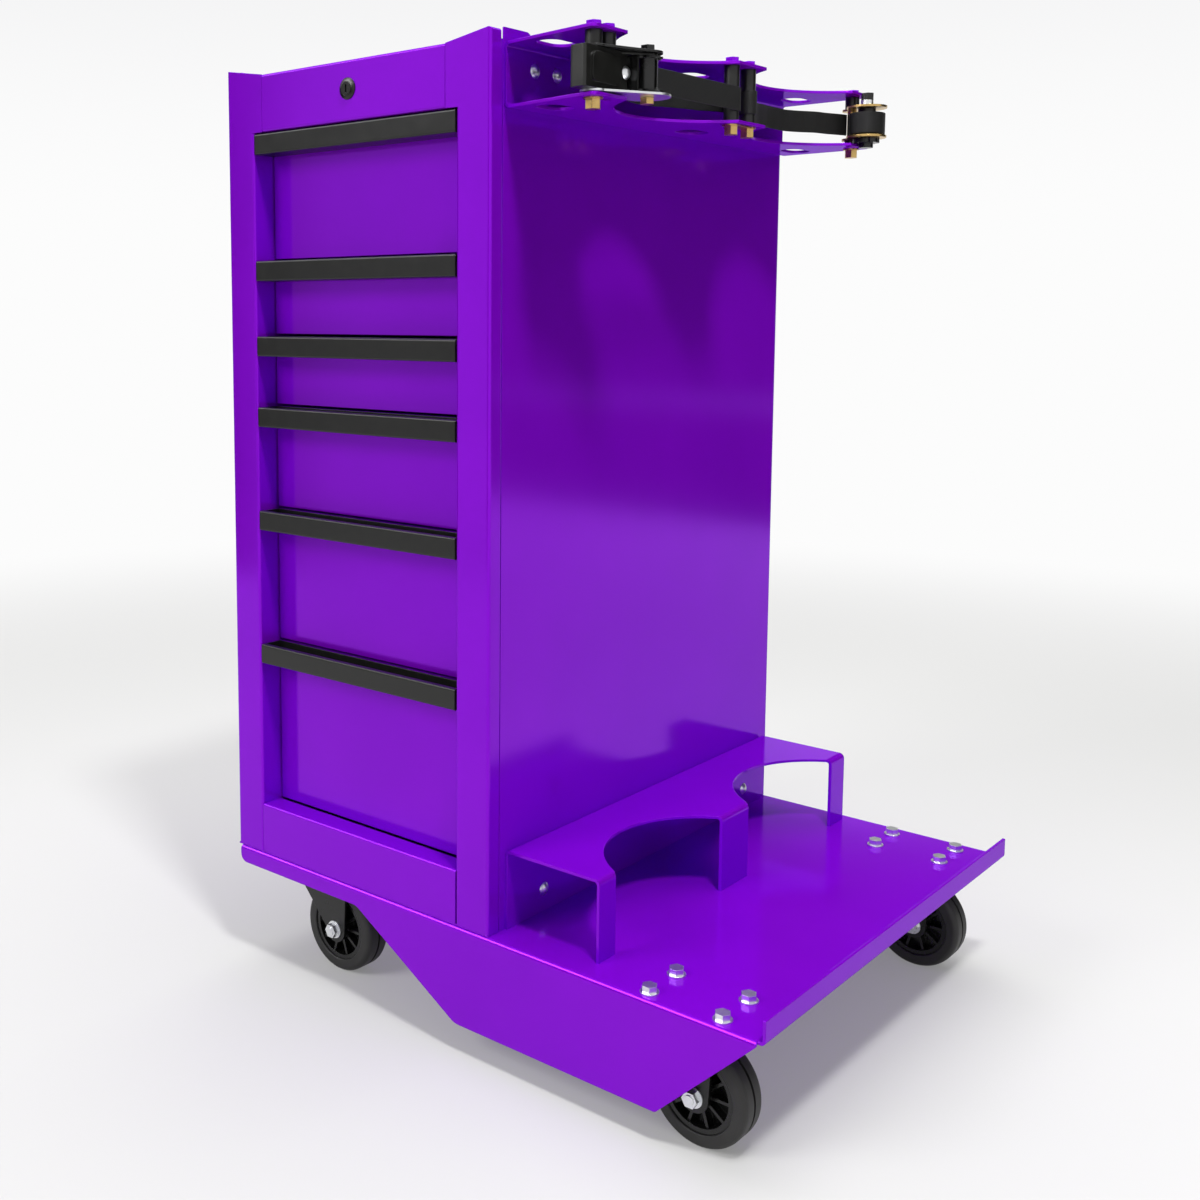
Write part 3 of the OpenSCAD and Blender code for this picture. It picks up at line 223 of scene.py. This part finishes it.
def platedSteel(tree, look):
    place = put(tree, "ShaderNodeTexCoord")
    cloud = put(tree, "ShaderNodeTexNoise", links={
        "Vector": place.outputs["Object"], "Scale": 1000 / look["cloudMm"], "Detail": 4.0, "Roughness": 0.6})
    tone = put(tree, "ShaderNodeMix", {"data_type": "RGBA"}, {
        "Factor": cloud.outputs["Fac"], 6: linearColour(look["shade"]), 7: linearColour(look["colour"])})
    shine = put(tree, "ShaderNodeMapRange", links={
        "Value": cloud.outputs["Fac"], "To Min": look["roughness"] + look["shineSpread"][0],
        "To Max": look["roughness"] + look["shineSpread"][1]})
    edge = put(tree, "ShaderNodeBevel", {"samples": edgeRays}, {"Radius": look["edgeMm"] / 1000})
    scratch = put(tree, "ShaderNodeTexNoise", links={
        "Vector": place.outputs["Object"], "Scale": 1000 / look["scratchMm"], "Detail": 2.0})
    bump = put(tree, "ShaderNodeBump", links={
        "Strength": look["scratchHeight"], "Distance": look["scratchDepthMm"] / 1000,
        "Height": scratch.outputs["Fac"], "Normal": edge.outputs["Normal"]})
    shader = put(tree, "ShaderNodeBsdfPrincipled", links={
        "Base Color": tone.outputs[2], "Metallic": 1.0, "Roughness": shine.outputs["Result"],
        "Normal": bump.outputs["Normal"]})
    return shader.outputs["BSDF"]


# vulcanised rubber tread: matte black, with a dusty bloom
rubber = {
    "colour": "#101010",
    "dust": "#262524",
    "roughness": 0.55,
    "ior": 1.52,
    "cloudMm": 22,
    "grainMm": 0.7,
    "grainHeight": 0.2,
    "grainDepthMm": 0.2,
}


def tyreRubber(tree, look):
    place = put(tree, "ShaderNodeTexCoord")
    cloud = put(tree, "ShaderNodeTexNoise", links={
        "Vector": place.outputs["Object"], "Scale": 1000 / look["cloudMm"], "Detail": 4.0})
    tone = put(tree, "ShaderNodeMix", {"data_type": "RGBA"}, {
        "Factor": cloud.outputs["Fac"], 6: linearColour(look["colour"]), 7: linearColour(look["dust"])})
    grain = put(tree, "ShaderNodeTexNoise", links={
        "Vector": place.outputs["Object"], "Scale": 1000 / look["grainMm"], "Detail": 2.0})
    bump = put(tree, "ShaderNodeBump", links={
        "Strength": look["grainHeight"], "Distance": look["grainDepthMm"] / 1000, "Height": grain.outputs["Fac"]})
    shader = put(tree, "ShaderNodeBsdfPrincipled", links={
        "Base Color": tone.outputs[2], "Roughness": look["roughness"], "IOR": look["ior"],
        "Normal": bump.outputs["Normal"]})
    return shader.outputs["BSDF"]


# woven polyester webbing: ribs across its width and warp threads along it, read from the piece's own UV map
#  in metres, with painted shade darkening the valleys between threads; threads are drawn about twice as coarse as
#  real ones so that they show
webbing = {
    "colour": "#121211",
    "paintedValleyShade": "#030303",
    "roughness": 0.5,
    "gloss": 0.25,
    "fuzz": 0.02,
    "fuzzRoughness": 0.4,
    "ribMm": 1.6,
    "threadMm": 1.2,
    "weaveHeight": 0.6,
    "weaveDepthMm": 0.4,
}


def wovenWebbing(tree, look):
    uv = put(tree, "ShaderNodeUVMap", {"uv_map": "alongAndAcross"})
    parts = put(tree, "ShaderNodeSeparateXYZ", links={"Vector": uv.outputs["UV"]})

    # a thread's rounded back is the absolute value of a sine across its pitch
    def thread(source, pitchMm, offset=None):
        phase = put(tree, "ShaderNodeMath", {"operation": "MULTIPLY"}, {
            0: source, 1: math.pi * 1000 / pitchMm}).outputs[0]
        if offset is not None:
            phase = put(tree, "ShaderNodeMath", {"operation": "ADD"}, {0: phase, 1: offset}).outputs[0]
        wave = put(tree, "ShaderNodeMath", {"operation": "SINE"}, {0: phase})
        return put(tree, "ShaderNodeMath", {"operation": "ABSOLUTE"}, {0: wave.outputs[0]}).outputs[0]

    slant = put(tree, "ShaderNodeMath", {"operation": "MULTIPLY"}, {
        0: parts.outputs["Y"], 1: math.pi * 1000 / look["threadMm"] / 2}).outputs[0]
    ribs = thread(parts.outputs["X"], look["ribMm"], slant)
    warp = thread(parts.outputs["Y"], look["threadMm"])
    height = put(tree, "ShaderNodeMath", {"operation": "MULTIPLY"}, {0: ribs, 1: warp}).outputs[0]
    # painted shade: the weave's low valleys are darkened toward the valley colour
    tone = put(tree, "ShaderNodeMix", {"data_type": "RGBA"}, {
        "Factor": height, 6: linearColour(look["paintedValleyShade"]), 7: linearColour(look["colour"])})
    bump = put(tree, "ShaderNodeBump", links={
        "Strength": look["weaveHeight"], "Distance": look["weaveDepthMm"] / 1000, "Height": height})
    shader = put(tree, "ShaderNodeBsdfPrincipled", links={
        "Base Color": tone.outputs[2], "Roughness": look["roughness"], "Specular IOR Level": look["gloss"],
        "Sheen Weight": look["fuzz"], "Sheen Roughness": look["fuzzRoughness"],
        "Normal": bump.outputs["Normal"]})
    return shader.outputs["BSDF"]


# bonded polyester sewing thread: smooth and black, with a soft shine and a slow twist
sewingThread = {
    "colour": "#1D1D1C",
    "roughness": 0.42,
    "twistMm": 3.1416,
    "twistHeight": 0.3,
    "twistDepthMm": 0.1,
    "uneven": 0.4,
}
wavePhase = 20  # radians that Blender's wave texture turns in one unit at scale 1


def twistedThread(tree, look):
    place = put(tree, "ShaderNodeTexCoord")
    twist = put(tree, "ShaderNodeTexWave", {"bands_direction": "DIAGONAL"}, {
        "Vector": place.outputs["Object"], "Scale": 2 * math.pi * 1000 / look["twistMm"] / wavePhase,
        "Distortion": look["uneven"]})
    bump = put(tree, "ShaderNodeBump", links={
        "Strength": look["twistHeight"], "Distance": look["twistDepthMm"] / 1000, "Height": twist.outputs["Fac"]})
    shader = put(tree, "ShaderNodeBsdfPrincipled", links={
        "Base Color": linearColour(look["colour"]), "Roughness": look["roughness"],
        "Normal": bump.outputs["Normal"]})
    return shader.outputs["BSDF"]


forkCoat = {**blackCoat, "colour": "#090909", "rubbed": "#161615", "roughness": 0.28}
nylon = {**blackCoat, "colour": "#090909", "rubbed": "#151514", "roughness": 0.26, "grainHeight": 0.04}
drumCoat = {**blackCoat, "colour": "#0A0A0A", "rubbed": "#181818", "roughness": 0.24}

# where one piece changes its finish, in metres: over the tightener's low plate, at the upper bracket's skin, on
# the face of the release button's tongue and along the collar over the reel's frame; pastAll is past every piece
change = {"plate": 0.004, "tongue": 0.003, "collar": 0.007, "pastAll": 9.0}
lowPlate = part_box("tightener_frame")[0][2] + change["plate"]
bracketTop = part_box("upper_bracket")[1][2]
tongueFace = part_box("release_pawl")[1][1] - change["tongue"]
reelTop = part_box("reel_frame")[1][2]
paint = makeMaterial("purplePowderCoat", purplePowderCoat, powderCoat)
pullBlack = makeMaterial("blackPullCoat", blackMetal, blackCoat)
forkBlack = makeMaterial("blackForkPaint", blackMetal, forkCoat)
coreBlack = makeMaterial("mouldedNylon", blackMetal, nylon)
brightZinc = makeMaterial("brightZinc", platedSteel, platings["brightZinc"])
yellowZinc = makeMaterial("yellowZinc", platedSteel, platings["yellowZinc"])
frameFinish = makeMaterial("zincUnderBlack", platedSteel, platings["brightZinc"], blackMetal, drumCoat,
                           span=(lowPlate, change["pastAll"]))
spoolFinish = makeMaterial("yellowZincUnderBlack", platedSteel, platings["yellowZinc"], blackMetal, drumCoat,
                           span=(lowPlate, change["pastAll"]))
tieFinish = makeMaterial("yellowZincUnderPaint", platedSteel, platings["yellowZinc"], purplePowderCoat,
                         powderCoat, span=(bracketTop, change["pastAll"]))
pawlFinish = makeMaterial("zincBeforeBlack", platedSteel, platings["brightZinc"], blackMetal, drumCoat,
                          axis="Y", span=(tongueFace, change["pastAll"]))
reelFinish = makeMaterial("blackWithZincCollar", blackMetal, drumCoat, platedSteel, platings["brightZinc"],
                          span=(reelTop, reelTop + change["collar"]))
tread = makeMaterial("tyreRubber", tyreRubber, rubber)
strapCloth = makeMaterial("wovenWebbing", wovenWebbing, webbing)
strapThread = makeMaterial("sewingThread", twistedThread, sewingThread)
print("materials made")

finishes = {
    "purple_paint": paint,
    "black_metal": pullBlack,
    "lock_black": coreBlack,
    "zinc": brightZinc,
    "yellow_zinc": yellowZinc,
    "webbing": strapCloth,
    "tyre_rubber": tread,
    "core_plastic": coreBlack,
}
ownFinishes = {
    "fork_front_left": forkBlack,
    "fork_back_left": forkBlack,
    "rigid_forks": forkBlack,
    "tightener_frame": frameFinish,
    "tightener_spool": spoolFinish,
    "tie_bolts": tieFinish,
    "release_pawl": pawlFinish,
    "reel_spool": reelFinish,
    "lock_cylinder": coreBlack,
}
for part in frame["record"]["subparts"]:
    slots = nodes[part["node"]].data.materials
    for index in range(len(slots)):
        slots[index] = ownFinishes.get(part["node"], finishes[part["material_slot"]])
print("CAD nodes finished")


def addPiece(name, mesh, material):
    mesh.materials.append(material)
    mesh.polygons.foreach_set("use_smooth", np.ones(len(mesh.polygons), dtype=bool))
    mesh.update()
    piece = bpy.data.objects.new(name, mesh)
    bpy.context.collection.objects.link(piece)
    return piece


# the faces between rings of points: point c of ring r, the next point n of the ring, and both on the next ring
def ringQuads(rows, cols):
    r, c = np.meshgrid(np.arange(rows - 1), np.arange(cols), indexing="ij")
    n = (c + 1) % cols
    corners = [r * cols + c, r * cols + n, (r + 1) * cols + n, (r + 1) * cols + c]
    return np.stack(corners, -1).reshape(-1, 4)


# a mesh from a grid of points: rows run along the piece, columns round its section, closed at both ends
def gridPiece(name, points, uv, material):
    rows, cols = points.shape[:2]
    quads = ringQuads(rows, cols)[:, [0, 3, 2, 1]]  # turned so that the faces point outwards
    ends = [list(range(cols)), list(range(rows * cols - 1, (rows - 1) * cols - 1, -1))]
    mesh = bpy.data.meshes.new(name)
    mesh.from_pydata(points.reshape(-1, 3).tolist(), [], quads.tolist() + ends)
    layer = mesh.uv_layers.new(name="alongAndAcross")
    loops = np.empty(len(mesh.loops), dtype=np.int32)
    mesh.loops.foreach_get("vertex_index", loops)
    layer.data.foreach_set("uv", uv.reshape(-1, 2)[loops].astype(np.float32).ravel())
    return addPiece(name, mesh, material)


# places of what the straps go round, in millimetres from the cabinet's low front left corner
cabinetCorner = np.array(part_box("cabinet_floor")[0])
tie = {
    "spool": np.array([502.0, 80.0]),
    "firstTube": np.array([484.0, 262.5]),
    "secondTube": np.array([484.0, 295.5]),
    "frontPost": np.array([484.0, 41.0]),
    "reel": np.array([506.0, 531.0]),
    "drumRadius": 9.5,
    "tubeRadius": 8.0,
    "postRadius": 5.2,
    "rollRadius": 21.5,
    "hubRadius": 10.0,
}
strap = {
    "thick": 1.3,
    "wide": 24.0,
    "low": 827.0,
    "gap": 0.2,
    "rollGap": 0.5,
    "frontBow": 34.0,
    "backBow": 30.0,
    "bowPower": 1.3,
    "drumSide": 160.0,  # degrees, as is rollSide
    "rollSide": 200.0,
    "sewn": 31.0,
    "bendPoints": 8,  # points of the run that the sewn layer leaves to the loop
    "frontFree": (0.42, 0.80),  # shares of the length between which a strap hangs free
    "backFree": (0.42, 0.93),
    "slackShare": 0.06,
    "step": 1.2,
    "fewestSteps": 8,
    "ripple": 0.3,
    "rippleMm": 31.0,
    "drift": 0.45,
    "driftMm": 83.7,
    "squareness": 7.0,
    "columns": 28,
}


# a point on a circle: centre + radius * (cos a, sin a), with the angle in degrees
def onCircle(centre, radius, degrees):
    turn = np.radians(degrees)
    return centre + radius * np.stack([np.cos(turn), np.sin(turn)], -1)


# an arc from one angle to another
def arc(centre, radius, start, end, count=48):
    return onCircle(centre, radius, np.linspace(start, end, count))


# a run between two points that bows toward -X: p + (q - p) s - depth * sin(pi s) ** power
def bow(p, q, depth, power, count=160):
    s = np.linspace(0, 1, count)[1:-1, None]
    return p + (q - p) * s - np.hstack([depth * np.sin(math.pi * s) ** power, np.zeros_like(s)])


# the radius of a strap's middle line round a tube, post or drum
def around(radius, look, gap="gap"):
    return radius + look[gap] + look["thick"] / 2


# the angle at which a strap that winds round a circle leaves it straight for a point
def leaveAngle(centre, radius, point):
    away = point - centre
    return math.degrees(math.atan2(away[1], away[0]) - math.acos(radius / np.linalg.norm(away)))


# unit normals of a route in the plane: its tangent turned a quarter to the left
def routeNormals(route):
    tangent = np.gradient(route, axis=0)
    tangent /= np.linalg.norm(tangent, axis=1, keepdims=True)
    return np.stack([-tangent[:, 1], tangent[:, 0]], -1)


# the start of a route up to a reach, moved sideways as the second layer of a sewn end
def secondLayer(route, reach, shift):
    near = route[np.linalg.norm(route - route[0], axis=1) < reach]
    return near + shift * routeNormals(near)


# the same route with points at even steps of its own length, and the length at each
def evenSteps(route, look, same=1e-6):
    gaps = np.linalg.norm(np.diff(route, axis=0), axis=1)
    apart = gaps > same
    route = route[np.concatenate([[True], apart])]
    length = np.concatenate([[0], np.cumsum(gaps[apart])])
    at = np.linspace(0, length[-1], max(look["fewestSteps"], int(length[-1] / look["step"])))
    return np.stack([np.interp(at, length, route[:, 0]), np.interp(at, length, route[:, 1])], -1), at


# a strap: at each step of the route a section of width w and thickness t, a squared ellipse
# (w/2 * cos a ** (2/n), t/2 * sin a ** (2/n)); free stretches ripple a little and drift up and down
def strapPiece(name, route, look, thick, free):
    centre, along = evenSteps(route, look)
    normal = routeNormals(centre)
    grown = look["slackShare"]
    slack = np.interp(along / along[-1], [0, free[0], free[0] + grown, free[1] - grown, free[1], 1],
                      [0, 0, 1, 1, 0, 0])
    wave = look["ripple"] * slack * np.sin(2 * math.pi * along / look["rippleMm"])
    drift = look["drift"] * slack * np.sin(2 * math.pi * along / look["driftMm"])
    turn = np.linspace(0, 2 * math.pi, look["columns"], endpoint=False)
    power = 2 / look["squareness"]
    across = look["wide"] / 2 * np.sign(np.cos(turn)) * np.abs(np.cos(turn)) ** power
    deep = thick / 2 * np.sign(np.sin(turn)) * np.abs(np.sin(turn)) ** power
    flat = centre[:, None, :] + normal[:, None, :] * (wave[:, None, None] + deep[None, :, None])
    high = look["low"] + look["wide"] / 2 + across[None, :] + drift[:, None]
    points = np.concatenate([flat, high[:, :, None]], -1) / 1000 + cabinetCorner
    uv = np.stack(np.broadcast_arrays(along[:, None], across[None, :]), -1) / 1000
    return gridPiece(name, points, uv, strapCloth), (centre, normal, along)


# lock stitches: each is a small capsule laid on the strap's face at a place along and across it, and turned by
# a slope; all of them are one mesh, the unit capsule (cos u, sin u cos v, sin u sin v) set at every stitch
stitch = {
    "long": 2.5,
    "thread": 0.42,
    "gap": 0.75,
    "inset": 2.6,
    "boxLong": 27.0,
    "fromEnd": 3.0,
    "proud": 0.2,  # share of the thread's thickness by which it stands out further
    "turns": 7,
    "sides": 8,
    "weld": 1e-7,  # metres within which the points of a pole are one
}


def stitchPlaces(start, look, halfWide):
    edge = halfWide - look["inset"]
    pitch = look["long"] + look["gap"]
    end = start + look["boxLong"]
    corners = [(start, -edge), (end, -edge), (end, edge), (start, edge), (start, -edge)]
    lines = list(zip(corners[:-1], corners[1:])) + [(corners[0], corners[2]), (corners[1], corners[3])]
    rows = []
    for p, q in lines:
        p, q = np.array(p), np.array(q)
        count = max(2, int(np.linalg.norm(q - p) / pitch))
        middle = p + (q - p) * ((np.arange(count) + 0.5) / count)[:, None]
        slope = math.atan2(q[1] - p[1], q[0] - p[0])
        rows.append(np.column_stack([middle, np.full(count, slope)]))
    return np.vstack(rows)


def stitchPiece(name, way, start, side, look, cloth, body):
    centre, normal, along = way
    turns, sides = look["turns"], look["sides"]
    places = stitchPlaces(start, look, cloth["wide"] / 2)
    middle = np.stack([np.interp(places[:, 0], along, centre[:, i]) for i in (0, 1)], -1)
    out = np.stack([np.interp(places[:, 0], along, normal[:, i]) for i in (0, 1)], -1) * side
    forward = np.stack([out[:, 1], -out[:, 0]], -1) * side
    u, v = np.meshgrid(np.linspace(0, math.pi, turns), np.linspace(0, 2 * math.pi, sides, endpoint=False),
                       indexing="ij")
    unit = np.stack([np.cos(u), np.sin(u) * np.cos(v), np.sin(u) * np.sin(v)], -1).reshape(-1, 3)
    lengthWay = unit[:, 0] * look["long"] / 2
    sideWay = unit[:, 1] * look["thread"] / 2
    lift = unit[:, 2] * look["thread"] / 2 + cloth["thick"] / 2 + look["thread"] * look["proud"]
    cos, sin = np.cos(places[:, 2])[:, None], np.sin(places[:, 2])[:, None]
    ahead = lengthWay * cos - sideWay * sin
    upward = lengthWay * sin + sideWay * cos
    flat = middle[:, None, :] + forward[:, None, :] * ahead[:, :, None] + out[:, None, :] * lift[None, :, None]
    high = cloth["low"] + cloth["wide"] / 2 + places[:, 1][:, None] + upward
    points = np.concatenate([flat, high[:, :, None]], -1) / 1000 + cabinetCorner
    quads = ringQuads(turns, sides)[:, ::side]  # the far face of a strap mirrors its stitches
    faces = (quads[None] + (np.arange(len(places)) * turns * sides)[:, None, None]).reshape(-1, 4)
    mesh = bpy.data.meshes.new(name)
    mesh.from_pydata(points.reshape(-1, 3).tolist(), [], faces.tolist())
    shell = bmesh.new()
    shell.from_mesh(mesh)
    bmesh.ops.remove_doubles(shell, verts=shell.verts, dist=look["weld"])
    shell.to_mesh(mesh)
    shell.free()
    piece = addPiece(name, mesh, strapThread)
    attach(piece, body)
    return piece


# front strap: spool, straight to the first middle tube, round it, bowed back to the front post and sewn to itself
def addFrontStrap(way, look):
    aroundPost = around(way["postRadius"], look)
    start = onCircle(way["spool"], around(way["drumRadius"], look), look["drumSide"])[None]
    wrap = arc(way["firstTube"], around(way["tubeRadius"], look), 0, 180)
    run = bow(wrap[-1], onCircle(way["frontPost"], aroundPost, 180), look["frontBow"], look["bowPower"])
    sewn = secondLayer(run[::-1][look["bendPoints"]:], look["sewn"], -look["thick"] - look["gap"])
    loop = arc(way["frontPost"], aroundPost, 180, 360 + leaveAngle(way["frontPost"], aroundPost, sewn[0]))
    route = np.vstack([start, wrap, run, loop, sewn])
    piece, line = strapPiece("frontStrap", route, look, look["thick"], look["frontFree"])
    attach(piece, "frame")
    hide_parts("strap_front")
    boxStart = line[2][-1] - stitch["boxLong"] - stitch["fromEnd"]
    stitchPiece("frontStrapStitches", line, boxStart, -1, stitch, look, "frame")
    return piece


# back strap: a sewn loop round the second middle tube, then bowed toward the cabinet and out to the reel
def addBackStrap(way, look):
    aroundTube = around(way["tubeRadius"], look)
    finish = onCircle(way["reel"], around(way["rollRadius"], look, "rollGap"), look["rollSide"])
    run = bow(onCircle(way["secondTube"], aroundTube, 180), finish, look["backBow"], look["bowPower"])
    sewn = secondLayer(run[look["bendPoints"]:], look["sewn"], -look["thick"] - look["gap"])
    loop = arc(way["secondTube"], aroundTube, 360 + leaveAngle(way["secondTube"], aroundTube, sewn[0]), 180)
    route = np.vstack([sewn[::-1], loop, run, finish[None]])
    piece, line = strapPiece("backStrap", route, look, look["thick"], look["backFree"])
    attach(piece, "frame")
    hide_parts("strap_back")
    stitchPiece("backStrapStitches", line, stitch["fromEnd"], 1, stitch, look, "frame")
    return piece


# rolled webbing: a spiral r = inner + pitch * a / 360 whose turns stand a little uneven in height
roll = {
    "thick": 1.1,
    "pitch": 1.6,
    "turns": 6,
    "points": 96,  # in each turn
    "hubGap": 0.1,
    "free": (0.05, 0.98),
    "cloth": {"ripple": 0.0, "rippleMm": 23.0, "drift": 0.3, "driftMm": 62.1, "step": 0.9},
}


def addRoll(way, look, cloth):
    outer = way["rollRadius"] - look["thick"] / 2
    degrees = np.linspace(0, 360 * look["turns"], look["points"] * look["turns"])
    radius = outer - look["pitch"] * (look["turns"] - degrees / 360)
    turn = np.radians(degrees + cloth["rollSide"])
    route = way["reel"] + radius[:, None] * np.stack([np.cos(turn), np.sin(turn)], -1)
    inner = onCircle(way["reel"], way["hubRadius"] + look["hubGap"], cloth["rollSide"])[None]
    rolled = {**cloth, **look["cloth"]}
    piece, line = strapPiece("webbingRoll", np.vstack([inner, route]), rolled, look["thick"], look["free"])
    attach(piece, "reel")
    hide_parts("webbing_roll")
    return piece


addFrontStrap(tie, strap)
addBackStrap(tie, strap)
addRoll(tie, roll, strap)
print("straps and roll made")

# the floor is one wide sheet; far from the cart it fades to the tone of the background
floorSheet = {
    "colour": "#CBCBC9",
    "background": "#FCFCFC",
    "half": 14.0,
    "fadeFrom": 1.2,
    "fadeTo": 3.2,
    "nearShare": 0.2,
}


# 1 where the camera, a mirror or glass looks, 0 for light that falls on things
def looksAt(tree):
    path = put(tree, "ShaderNodeLightPath")
    first = put(tree, "ShaderNodeMath", {"operation": "MAXIMUM"}, {
        0: path.outputs["Is Camera Ray"], 1: path.outputs["Is Glossy Ray"]})
    return put(tree, "ShaderNodeMath", {"operation": "MAXIMUM"}, {
        0: first.outputs[0], 1: path.outputs["Is Transmission Ray"]}).outputs[0]


def addFloor(look):
    half = look["half"]
    mesh = bpy.data.meshes.new("floor")
    corners = [(-half, -half, 0), (half, -half, 0), (half, half, 0), (-half, half, 0)]
    mesh.from_pydata(corners, [], [(0, 1, 2, 3)])
    material = bpy.data.materials.new("palePaper")
    material.use_nodes = True
    tree = material.node_tree
    tree.nodes.clear()
    place = put(tree, "ShaderNodeTexCoord")
    distance = put(tree, "ShaderNodeVectorMath", {"operation": "LENGTH"}, {0: place.outputs["Object"]})
    fade = put(tree, "ShaderNodeMapRange", {"interpolation_type": "SMOOTHSTEP"}, {
        "Value": distance.outputs["Value"], "From Min": look["fadeFrom"], "From Max": look["fadeTo"],
        "To Min": look["nearShare"]})
    share = put(tree, "ShaderNodeMath", {"operation": "MULTIPLY"}, {
        0: fade.outputs["Result"], 1: looksAt(tree)})
    paper = put(tree, "ShaderNodeBsdfDiffuse", links={"Color": linearColour(look["colour"])})
    glow = put(tree, "ShaderNodeEmission", links={
        "Color": linearColour(look["background"]), "Strength": 1.0})
    mixed = put(tree, "ShaderNodeMixShader", links={
        0: share.outputs[0], 1: paper.outputs["BSDF"], 2: glow.outputs["Emission"]})
    put(tree, "ShaderNodeOutputMaterial", links={"Surface": mixed.outputs[0]})
    mesh.materials.append(material)
    sheet = bpy.data.objects.new("floor", mesh)
    bpy.context.collection.objects.link(sheet)
    return sheet


# boards stand round the set, outside the photograph, and only the gloss mirrors them: painted reflections, each a
# glowing dark sheet that runs
#  between two places on the floor plan, from one height to another, with a paler glowing strip across an axis;
#  the last one is all strip, a bright glowing card, no lamp, that paints the highlight line along the bends
mirroredBoards = {
    "backRightBoard": {"from": (0.75, 3.15), "to": (7.5, 3.15), "low": 0.0, "high": 4.2,
                       "axis": "Z", "strip": (0.40, 0.47), "edge": 0.01, "stripColour": "#8E8C92", "glow": 1.0},
    "frontLeftBoard": {"from": (-3.9, -0.2), "to": (0.3, -4.0), "low": 0.02, "high": 1.7,
                       "axis": "X", "strip": (-2.06, -1.50), "edge": 0.12, "stripColour": "#E2E2E4", "glow": 1.0},
    "backBoard": {"from": (-10.0, 2.6), "to": (1.2, 9.4), "low": 2.75, "high": 9.0,
                  "axis": "X", "strip": (-9.0, -8.9), "edge": 0.01, "stripColour": "#0B0A0D", "glow": 1.0},
    # frontCard glows white at nine times strength though it is no lamp: it paints the highlight line along the
    # bends
    "frontCard": {"from": (-4.6, -2.2), "to": (-1.1, -2.2), "low": 2.5, "high": 3.9,
                  "axis": "Z", "strip": (2.4, 4.0), "edge": 0.05, "stripColour": "#FFFFFF", "glow": 9.0},
}
boardColour = "#0B0A0D"


# the strip's share is a smooth step up at its first side and down at its second
def addBoard(name, look):
    mesh = bpy.data.meshes.new(name)
    mesh.from_pydata([(*look["from"], look["low"]), (*look["to"], look["low"]),
                      (*look["to"], look["high"]), (*look["from"], look["high"])], [], [(0, 1, 2, 3)])
    material = bpy.data.materials.new("glossOnlyPaintedReflection")
    material.use_nodes = True
    tree = material.node_tree
    tree.nodes.clear()
    place = put(tree, "ShaderNodeTexCoord")
    parts = put(tree, "ShaderNodeSeparateXYZ", links={"Vector": place.outputs["Object"]})
    sides = [put(tree, "ShaderNodeMapRange", {"interpolation_type": "SMOOTHSTEP"}, {
        "Value": parts.outputs[look["axis"]], "From Min": side - look["edge"], "From Max": side + look["edge"]})
        for side in look["strip"]]
    strip = put(tree, "ShaderNodeMath", {"operation": "SUBTRACT"}, {
        0: sides[0].outputs["Result"], 1: sides[1].outputs["Result"]})
    tone = put(tree, "ShaderNodeMix", {"data_type": "RGBA"}, {
        "Factor": strip.outputs[0], 6: linearColour(boardColour), 7: linearColour(look["stripColour"])})
    # the board glows with its own colour and is seen only in gloss: painted dark and pale reflections
    paintedReflectionGlow = put(tree, "ShaderNodeEmission", links={"Color": tone.outputs[2], "Strength": look["glow"]})
    put(tree, "ShaderNodeOutputMaterial", links={"Surface": paintedReflectionGlow.outputs["Emission"]})
    mesh.materials.append(material)
    board = bpy.data.objects.new(name, mesh)
    bpy.context.collection.objects.link(board)
    board.visible_camera = False
    board.visible_diffuse = False
    board.visible_shadow = False
    return board


addFloor(floorSheet)
for boardName, boardLook in mirroredBoards.items():
    addBoard(boardName, boardLook)

# soft boxes: place in metres, the point that each faces, its size and its power
lampSet = {
    "keyRight": {"place": (1.25, -0.9, 3.3), "aim": (0.1, 0, 0.4), "size": 0.35, "power": 72},
    "frontLeft": {"place": (-1.3, -3.6, 2.9), "aim": (-0.1, 0, 0.5), "size": 1.7, "power": 84},
    "overhead": {"place": (-0.2, 0.7, 3.6), "aim": (0, 0, 0), "size": 3.0, "power": 94},
}
# the sky's tone from its horizon up; fill is its strength as a light
worldLook = {"horizon": "#FCFCFC", "overhead": "#E6E6E8", "fill": 0.5, "from": 0.06, "to": 0.44}


def addLamp(name, look):
    data = bpy.data.lights.new(name, "AREA")
    data.shape = "SQUARE"
    data.size = look["size"]
    data.energy = look["power"]
    lamp = bpy.data.objects.new(name, data)
    lamp.location = look["place"]
    away = np.array(look["place"]) - np.array(look["aim"])
    flat = math.hypot(away[0], away[1])
    lamp.rotation_euler = (math.atan2(flat, away[2]), 0, math.atan2(away[1], away[0]) + math.pi / 2)
    bpy.context.collection.objects.link(lamp)
    return lamp


def addWorld(look):
    world = bpy.data.worlds.new("studio")
    bpy.context.scene.world = world
    world.use_nodes = True
    tree = world.node_tree
    tree.nodes.clear()
    place = put(tree, "ShaderNodeTexCoord")
    parts = put(tree, "ShaderNodeSeparateXYZ", links={"Vector": place.outputs["Generated"]})
    height = put(tree, "ShaderNodeMapRange", {"interpolation_type": "SMOOTHSTEP"}, {
        "Value": parts.outputs["Z"], "From Min": look["from"], "From Max": look["to"]})
    tone = put(tree, "ShaderNodeMix", {"data_type": "RGBA"}, {
        "Factor": height.outputs["Result"], 6: linearColour(look["horizon"]), 7: linearColour(look["overhead"])})
    strength = put(tree, "ShaderNodeMapRange", links={
        "Value": looksAt(tree), "To Min": look["fill"], "To Max": 1.0})
    sky = put(tree, "ShaderNodeBackground", links={
        "Color": tone.outputs[2], "Strength": strength.outputs["Result"]})
    put(tree, "ShaderNodeOutputWorld", links={"Surface": sky.outputs["Background"]})


for lampName, lampLook in lampSet.items():
    addLamp(lampName, lampLook)
addWorld(worldLook)
print("stage and lamps set")
